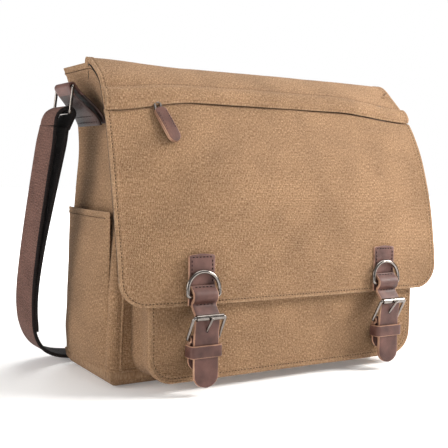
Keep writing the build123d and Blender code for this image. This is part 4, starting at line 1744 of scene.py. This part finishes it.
    def _keeper(self) -> None:
        """The keeper: a closed leather loop round tab and billet."""
        low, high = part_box(f"keeper_{self.side_name}")
        wall, turn = self.leather / 2, 3.0 * MM
        left, right = low.x + wall, high.x - wall
        front, back = low.y + wall, high.y - wall
        middle_z = (low.z + high.z) / 2
        corners = ((right, back, 0), (left, back, 90), (left, front, 180), (right, front, 270))
        loop = []
        for x, y, begin in corners:
            centre_x = x - math.copysign(turn, x - self.middle)
            centre_y = y - math.copysign(turn, y - (front + back) / 2)
            for step in range(5):
                angle = math.radians(begin + 22.5 * step)
                x_at, y_at = centre_x + turn * math.cos(angle), centre_y + turn * math.sin(angle)
                loop.append((x_at, y_at, middle_z))
        loop.append(loop[0])
        course = Course(loop, smooth=False)
        tall = (high.z - low.z) / 2
        keeper = Ribbon(course, Vector((0, 0, 1)), lambda share: tall, self.leather, 0.7 * MM)
        mesh = bmesh.new()
        keeper.add(mesh, 0.8 * MM, closed=True)
        self._leather(mesh, "keeper_loop", "keeper")


def dress(node: str, finish: Finish) -> None:
    """Give a node's own object a better finish.

    Args:
        node: The node.
        finish: Its finish.
    """
    made = frame["nodes"][node]
    for slot in made.material_slots:
        slot.material = finish.material
    LOG.info("%s: dressed in %s", node, finish.name.lower())


# ---------------------------------------------------------------- shoulder strap


@dataclass(frozen=True)
class Webbing(Ribbon):
    """Strap webbing, turned a little to the front where it hangs beside the bag."""

    turned: float = math.radians(8.0)

    def station(self, distance: float) -> tuple[Vector, Vector, Vector]:
        """Middle point, sideways direction and outward direction at a distance."""
        middle = self.course.at(distance)
        run = self.course.along(distance)
        share = ramp(0.02, 0.07, middle.z) * mix(1.0, 0.25, ramp(0.235, 0.268, middle.z))
        angle = -math.copysign(self.turned * share, middle.x)
        across = Matrix.Rotation(angle, 3, "Z") @ self.across
        side = (across - run * across.dot(run)).normalized()
        return middle, side, side.cross(run).normalized()


@dataclass(frozen=True)
class SideAnchor:
    """A leather side tab with its ring's top bar in its fold."""

    side_name: str
    side: int

    def build(self, thread: bmesh.types.BMesh) -> None:
        """Make the tab: sewn flat on the gusset, up round the ring's bar and back down.

        Args:
            thread: The mesh that takes its stitches.
        """
        low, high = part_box(f"side_tab_{self.side_name}")
        _, ring_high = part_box(f"side_ring_{self.side_name}")
        ring_y = (low.y + high.y) / 2 / MM
        bar_x, bar_z = 203.0, ring_high.z / MM - 1.5
        wrap = 3.0
        angles = [math.radians(angle) for angle in range(-60, 121, 30)]
        turn = [(bar_x + wrap * math.sin(angle), ring_y, bar_z + wrap * math.cos(angle)) for angle in angles]
        drawn = [(181.0, -4, 259.5), (183.0, 0, 268), (188.0, 8, 279), (196.0, ring_y - 3, 291.5), *turn]
        drawn += [(203.2, ring_y - 3, 290), (196.0, 8, 277), (189.0, 0, 266), (186.0, -4, 257.5)]
        course = Course([(self.side * x * MM, y * MM, z * MM) for x, y, z in drawn])
        half = (high.y - low.y) / 2
        length = course.length

        def width(share: float) -> float:
            """Half-width: wide where it is sewn, narrow in the ring."""
            from_bar = abs(share * length - 0.5 * length) / (0.5 * length)
            return half + 8.5 * MM * ramp(0.20, 1.0, from_bar)

        tab = Ribbon(course, INWARD, width, 2.4 * MM, 0.8 * MM, 0, 0, sheared=True)
        mesh = bmesh.new()
        tab.add(mesh, 1.2 * MM)
        # Faces below 288 mm take the near-black leather, which is painted shade for the tab's lower outer
        # face where it faces down, away from the lights.
        for face in mesh.faces:
            face.material_index = 1 if face.calc_center_median().z < 0.288 else 0
        finishes = [Finish.LEATHER, Finish.DARK_LEATHER]
        made = piece(f"side_tab_{self.side_name}_leather", mesh, finishes, "root")
        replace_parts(made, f"side_tab_{self.side_name}")
        dress(f"side_ring_{self.side_name}", Finish.NICKEL)
        face = 1 if tab.station(0.9 * length)[2].x * self.side > 0 else -1
        for at in (0.90, 0.965):
            reach = width(at) - 3.5 * MM

            def line(distance: float, at: float = at, reach: float = reach) -> tuple[Vector, Vector]:
                """Place along a row across the tab."""
                return tab.on_face(at * length, distance - reach, face)

            stitches(thread, line, 2 * reach, 4.2 * MM, 0.9 * MM)


@dataclass(frozen=True)
class ShoulderStrap:
    """The webbing strap: down from each ring and along the floor behind the bag."""

    width: float = 38 * MM
    thickness: float = 3.8 * MM
    doubled: float = 215 * MM
    route: tuple[tuple[float, float, float], ...] = (
        (-0.2205, 0.022, 0.2569),
        (-0.225, 0.024, 0.225),
        (-0.231, 0.029, 0.175),
        (-0.2355, 0.037, 0.125),
        (-0.2365, 0.048, 0.078),
        (-0.230, 0.061, 0.038),
        (-0.206, 0.078, 0.011),
        (-0.165, 0.086, 0.0026),
        (-0.112, 0.089, 0.0024),
        (-0.056, 0.087, 0.0024),
        (0.0, 0.090, 0.0024),
        (0.056, 0.088, 0.0024),
        (0.112, 0.090, 0.0024),
        (0.165, 0.086, 0.0026),
        (0.205, 0.078, 0.011),
        (0.225, 0.066, 0.038),
        (0.229, 0.054, 0.078),
        (0.227, 0.043, 0.125),
        (0.222, 0.034, 0.175),
        (0.217, 0.027, 0.225),
        (0.2145, 0.022, 0.2569),
    )

    def _centreline(self) -> list[Vector]:
        """Points along the route's smooth spline."""
        curve = bpy.data.curves.new("strap_route", "CURVE")
        curve.dimensions = "3D"
        curve.resolution_u = 16
        spline = curve.splines.new("NURBS")
        spline.points.add(len(self.route) - 1)
        for control, place in zip(spline.points, self.route):
            control.co = (*place, 1.0)
        spline.order_u = 3
        spline.use_endpoint_u = True
        holder = bpy.data.objects.new("strap_route", curve)
        bpy.context.scene.collection.objects.link(holder)
        drawn = bpy.data.meshes.new_from_object(holder)
        points = [vert.co.copy() for vert in drawn.vertices]
        bpy.data.objects.remove(holder)
        bpy.data.curves.remove(curve)
        bpy.data.meshes.remove(drawn)
        return points

    def build(self) -> None:
        """Make the strap, its folded ends and its length adjuster."""
        points = self._centreline()
        course = Course([tuple(point) for point in points], smooth=False)
        finishes = [Finish.WEBBING, Finish.WEBBING_BACK]
        mesh = self._strip(course, self.thickness, 1.0 * MM, 2.5 * MM)
        strap = piece("strap_webbing", mesh, finishes, "root")
        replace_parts(strap, "shoulder_strap")
        extras = [self._fold(side_name, side, finishes) for side_name, side in SIDES.items()]
        extras += [self._inner_layer(side_name, course) for side_name in SIDES]
        dress("strap_slider", Finish.NICKEL)

    def _strip(
        self, course: Course, thickness: float, rounding: float, step: float, narrower: float = 0.0
    ) -> bmesh.types.BMesh:
        """Mesh of webbing along a course.

        Args:
            course: Where it runs.
            thickness: How thick it is.
            rounding: Rounding of its edges.
            step: Distance between two sections.
            narrower: How much less its half-width is than the strap's.

        Returns:
            The mesh.
        """
        mesh = bmesh.new()
        half = self.width / 2 - narrower
        Webbing(course, INWARD, lambda share: half, thickness, rounding, 1, 1, 13).add(mesh, step)
        return mesh

    def _fold(self, side_name: str, side: int, finishes: list[Finish]) -> bpy.types.Object:
        """The end folded over the ring's low bar.

        Args:
            side_name: The side's name.
            side: -1 for the left, 1 for the right.
            finishes: The webbing's finishes.

        Returns:
            The fold.
        """
        start = self.route[0] if side < 0 else self.route[-1]
        reach, top = abs(start[0]) / MM, start[2] / MM
        drawn = [(0.2, 0), (1.4, 7), (4.8, 13.2), (9.8, 16.8), (14.2, 18.2), (18.8, 16.2), (20.4, 11.4)]
        drawn += [(17.6, 5.2), (13.4, -3)]
        drawn = drawn if side > 0 else drawn[::-1]
        course = Course([(side * (reach - x) * MM, start[1], (top + z) * MM) for x, z in drawn])
        mesh = self._strip(course, 3.7 * MM, 1.0 * MM, 1.2 * MM)
        made = piece(f"strap_end_{side_name}", mesh, finishes, "root")
        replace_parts(made, f"strap_fold_{side_name}")
        return made

    def _inner_layer(self, side_name: str, course: Course) -> bpy.types.Object:
        """The end's inner layer, which runs down beside the strap and is sewn to it.

        Args:
            side_name: The side's name.
            course: The strap's course.

        Returns:
            The layer.
        """
        side = SIDES[side_name]
        drawn = []
        for step in range(15):
            reach = self.doubled * step / 14
            place = course.at(reach if side < 0 else course.length - reach)
            gap = mix(15.2 * MM, 3.2 * MM, ramp(-0.35, 1.0, step / 14))
            drawn.append(tuple(place + Vector((-side * gap, 0, 0))))
        mesh = self._strip(Course(drawn), 3.0 * MM, 0.7 * MM, 2.5 * MM, 0.2 * MM)
        return piece(f"strap_inner_{side_name}", mesh, [Finish.WEBBING_BACK] * 2, "root")


# ---------------------------------------------------------------- zips


@dataclass(frozen=True)
class Zip:
    """One zip's tape, teeth, slider, link and leather pull."""

    prefix: str
    holder: str
    run: Vector
    out: Vector
    tooth_pitch: float = 2.0 * MM

    def build(self) -> None:
        """Dress the zip's metal and make its teeth and pull."""
        dress(f"{self.prefix}_zip_slider", Finish.ZIP_METAL)
        dress(f"{self.prefix}_zip_link", Finish.ZIP_METAL)
        dress(f"{self.prefix}_zip_tape", Finish.TAPE)
        self._teeth()
        self._pull()

    def _middle(self, node: str) -> Vector:
        """Middle of a node's box."""
        low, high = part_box(node)
        return (low + high) / 2

    def _teeth(self) -> None:
        """Meshed metal teeth along the tape."""
        node = f"{self.prefix}_zip_chain"
        low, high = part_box(node)
        middle = self._middle(node)
        mesh = bmesh.new()
        count = round((high.x - low.x) / self.tooth_pitch)
        turn = Matrix((Vector((1, 0, 0)), self.run, self.out)).transposed().to_4x4()
        for index in range(count):
            x = low.x + (index + 0.5) * (high.x - low.x) / count
            side = 1 if index % 2 else -1
            where = Matrix.Translation(Vector((x, middle.y, middle.z)) + self.run * side * 0.8 * MM) @ turn
            shape = Matrix.Diagonal((0.75 * self.tooth_pitch, 2.7 * MM, 1.3 * MM, 1))
            made = bmesh.ops.create_cube(mesh, size=1.0, matrix=where @ shape)
            edges = list({edge for vert in made["verts"] for edge in vert.link_edges})
            bmesh.ops.bevel(
                mesh, geom=edges, offset=0.25 * MM, segments=1, profile=0.5, affect="EDGES", material=-1
            )
        made = piece(f"{self.prefix}_zip_teeth", mesh, [Finish.ZIP_METAL], self.holder)
        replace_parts(made, node)

    def _pull(self) -> None:
        """Two layers of leather sewn together, rounded at the free end."""
        node = f"{self.prefix}_zip_pull"
        low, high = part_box(node)
        link = self._middle(f"{self.prefix}_zip_link")
        middle = self._middle(node)
        run = (middle - link).normalized()
        run = (run - self.out * run.dot(self.out)).normalized()
        width = 14.0 * MM if self.prefix == "flap" else 9.0 * MM
        length = 34 * MM
        more = 5.0 * MM if self.prefix == "flap" else 1.5 * MM
        start = middle - run * (length / 2 + more)
        across = run.cross(self.out)
        body = f"{self.prefix}_pull"
        mesh = bmesh.new()
        for layer, lift in enumerate((-0.85 * MM, 0.85 * MM)):
            drawn = []
            for step in range(9):
                share = step / 8
                bow = 0.8 * MM * math.sin(math.pi * share) * (1 if layer else 0.6)
                drawn.append(tuple(start + run * (share * (length + more)) + self.out * (lift + bow)))
            course = Course(drawn)
            strip = Ribbon(
                course,
                across,
                tongue(width / 2 - 0.2 * MM * layer, course.length, 3.5 * MM, width * 0.55),
                1.6 * MM,
                0.45 * MM,
            )
            strip.add(mesh, 0.8 * MM)
        finishes = [Finish.PULL_LEATHER, Finish.CUT_EDGE]
        made = piece(f"{self.prefix}_pull_leather", mesh, finishes, body)
        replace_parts(made, node)
        thread = bmesh.new()
        for side in (-1, 1):
            begin = start + across * side * (width / 2 - 2.4 * MM) + run * 5 * MM
            face = self.out * 2.3 * MM

            def line(distance: float, begin: Vector = begin) -> tuple[Vector, Vector]:
                """Place along an edge of the pull."""
                bow = 0.8 * MM * math.sin(math.pi * (distance + 5 * MM) / length)
                return begin + run * distance + face + self.out * bow, self.out

            stitches(thread, line, length - 13 * MM, 3.0 * MM, 0.6 * MM)
        piece(f"{self.prefix}_pull_stitching", thread, [Finish.DARK_THREAD], body)


# ---------------------------------------------------------------- studio


@dataclass(frozen=True)
class Studio:
    """Camera, pale floor and soft lights."""

    lens: float = 65.35
    eye: tuple[float, float, float] = (-0.4977, -0.7826, 0.2200)
    heading: float = math.radians(-31.255)
    elevation: float = math.radians(4.10)
    roll: float = math.radians(1.137)

    def camera(self) -> None:
        """Set the camera."""
        data = bpy.data.cameras.new("camera")
        data.lens = self.lens
        data.sensor_width = 36.0
        data.clip_start, data.clip_end = 0.01, 50.0
        flat = math.cos(self.elevation)
        heading = Vector((math.sin(self.heading), -math.cos(self.heading), 0))
        back = heading * flat + Vector((0, 0, math.sin(self.elevation)))
        level = Vector((0, 0, 1)).cross(back).normalized()
        upright = back.cross(level)
        right = math.cos(self.roll) * level + math.sin(self.roll) * upright
        up = math.cos(self.roll) * upright - math.sin(self.roll) * level
        made = bpy.data.objects.new("camera", data)
        made.matrix_world = Matrix.Translation(self.eye) @ Matrix((right, up, back)).transposed().to_4x4()
        bpy.context.scene.collection.objects.link(made)
        bpy.context.scene.camera = made

    def floor(self) -> None:
        """A wide pale flat floor that glows white, faintly near the bag and fully from 1.1 m out."""
        mesh = bmesh.new()
        bmesh.ops.create_circle(mesh, cap_ends=True, segments=96, radius=6.0)
        data = bpy.data.meshes.new("studio_floor")
        mesh.to_mesh(data)
        mesh.free()
        made = bpy.data.objects.new("studio_floor", data)
        bpy.context.scene.collection.objects.link(made)
        shader = Shader("studio_paper")
        grain = shader.noise(shader.coordinates((1, 1, 1), cloth=False), 3.0, 2.0)
        tone = shader.ramp(grain, [(0.3, (0.90, 0.90, 0.90)), (0.7, (0.93, 0.93, 0.93))])
        shader.link(tone, shader.surface.inputs["Base Color"])
        shader.fix(roughness=0.9, specular=0.1)
        reach = shader.node("ShaderNodeVectorMath", operation="LENGTH")
        shader.link(shader.coordinates((1, 1, 1), cloth=False), reach.inputs[0])
        glow = shader.node("ShaderNodeMapRange", interpolation_type="SMOOTHSTEP")
        for name, value in (("From Min", 0.30), ("From Max", 1.10), ("To Min", 0.16), ("To Max", 1.0)):
            glow.inputs[name].default_value = value
        shader.link(reach.outputs["Value"], glow.inputs["Value"])
        shader.link(glow.outputs["Result"], shader.surface.inputs["Emission Strength"])
        shader.surface.inputs["Emission Color"].default_value = (1.0, 1.0, 1.0, 1.0)
        data.materials.append(shader.material)

    def lights(self) -> None:
        """Soft lights: a large one overhead, a nearer one from the right and weak ones around."""
        for name, place, size, power, colour in (
            ("overhead", (0.35, 0.05, 1.7), 1.6, 22.0, (1.0, 0.99, 0.97)),
            ("key", (1.00, -0.66, 0.75), 0.55, 27.0, (1.0, 0.98, 0.95)),
            ("left", (-1.9, 0.1, 0.7), 1.2, 21.0, (1.0, 0.97, 0.94)),
            ("behind", (1.2, 1.6, 1.2), 1.4, 10.0, (0.98, 0.99, 1.0)),
        ):
            data = bpy.data.lights.new(name, "AREA")
            data.shape = "DISK"
            data.size, data.energy, data.color = size, power, colour
            made = bpy.data.objects.new(name, data)
            aim = Vector((0, 0, 0.15)) - Vector(place)
            made.matrix_world = Matrix.Translation(place) @ aim.to_track_quat("-Z", "Y").to_matrix().to_4x4()
            bpy.context.scene.collection.objects.link(made)

    def surroundings(self) -> None:
        """A white backdrop that lights the bag less than it shows."""
        world = bpy.data.worlds.new("studio")
        world.use_nodes = True
        tree = world.node_tree
        glow = tree.nodes["Background"]
        glow.inputs["Color"].default_value = (1.0, 1.0, 1.0, 1.0)
        seen = tree.nodes.new("ShaderNodeLightPath")
        strength = tree.nodes.new("ShaderNodeMapRange")
        strength.inputs["To Min"].default_value = 0.34
        strength.inputs["To Max"].default_value = 1.0
        tree.links.new(seen.outputs["Is Camera Ray"], strength.inputs["Value"])
        tree.links.new(strength.outputs["Result"], glow.inputs["Strength"])
        bpy.context.scene.world = world
        bpy.context.scene.view_settings.view_transform = "Standard"


# ---------------------------------------------------------------- the whole bag


def main() -> None:
    """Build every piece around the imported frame."""
    studio = Studio()
    studio.camera()
    ShoulderStrap().build()
    studio.floor()
    studio.lights()
    studio.surroundings()
    Flap().build()
    body = Body()
    body.build()
    Inside(body).build()
    FrontPocket().build()
    seams, sewing = bmesh.new(), bmesh.new()
    anchor_thread = bmesh.new()
    for side_name, side in SIDES.items():
        SidePocket(side_name, side).build(seams)
        BuckleStrap(side_name, side).build(sewing)
        SideAnchor(side_name, side).build(anchor_thread)
    piece("side_pocket_stitching", seams, [Finish.THREAD], "root")
    piece("strap_stitching", sewing, [Finish.DARK_THREAD], "flap")
    piece("side_tab_stitching", anchor_thread, [Finish.DARK_THREAD], "root")
    Zip("flap", "flap", Vector((0, 0.46576, 0.88490)), Vector((0, -0.88490, 0.46576))).build()
    Zip("back", "root", Vector((0, 0, 1)), Vector((0, 1, 0))).build()


logging.basicConfig(level=logging.INFO, format="%(message)s")
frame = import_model()

if __name__ == "__main__":
    main()
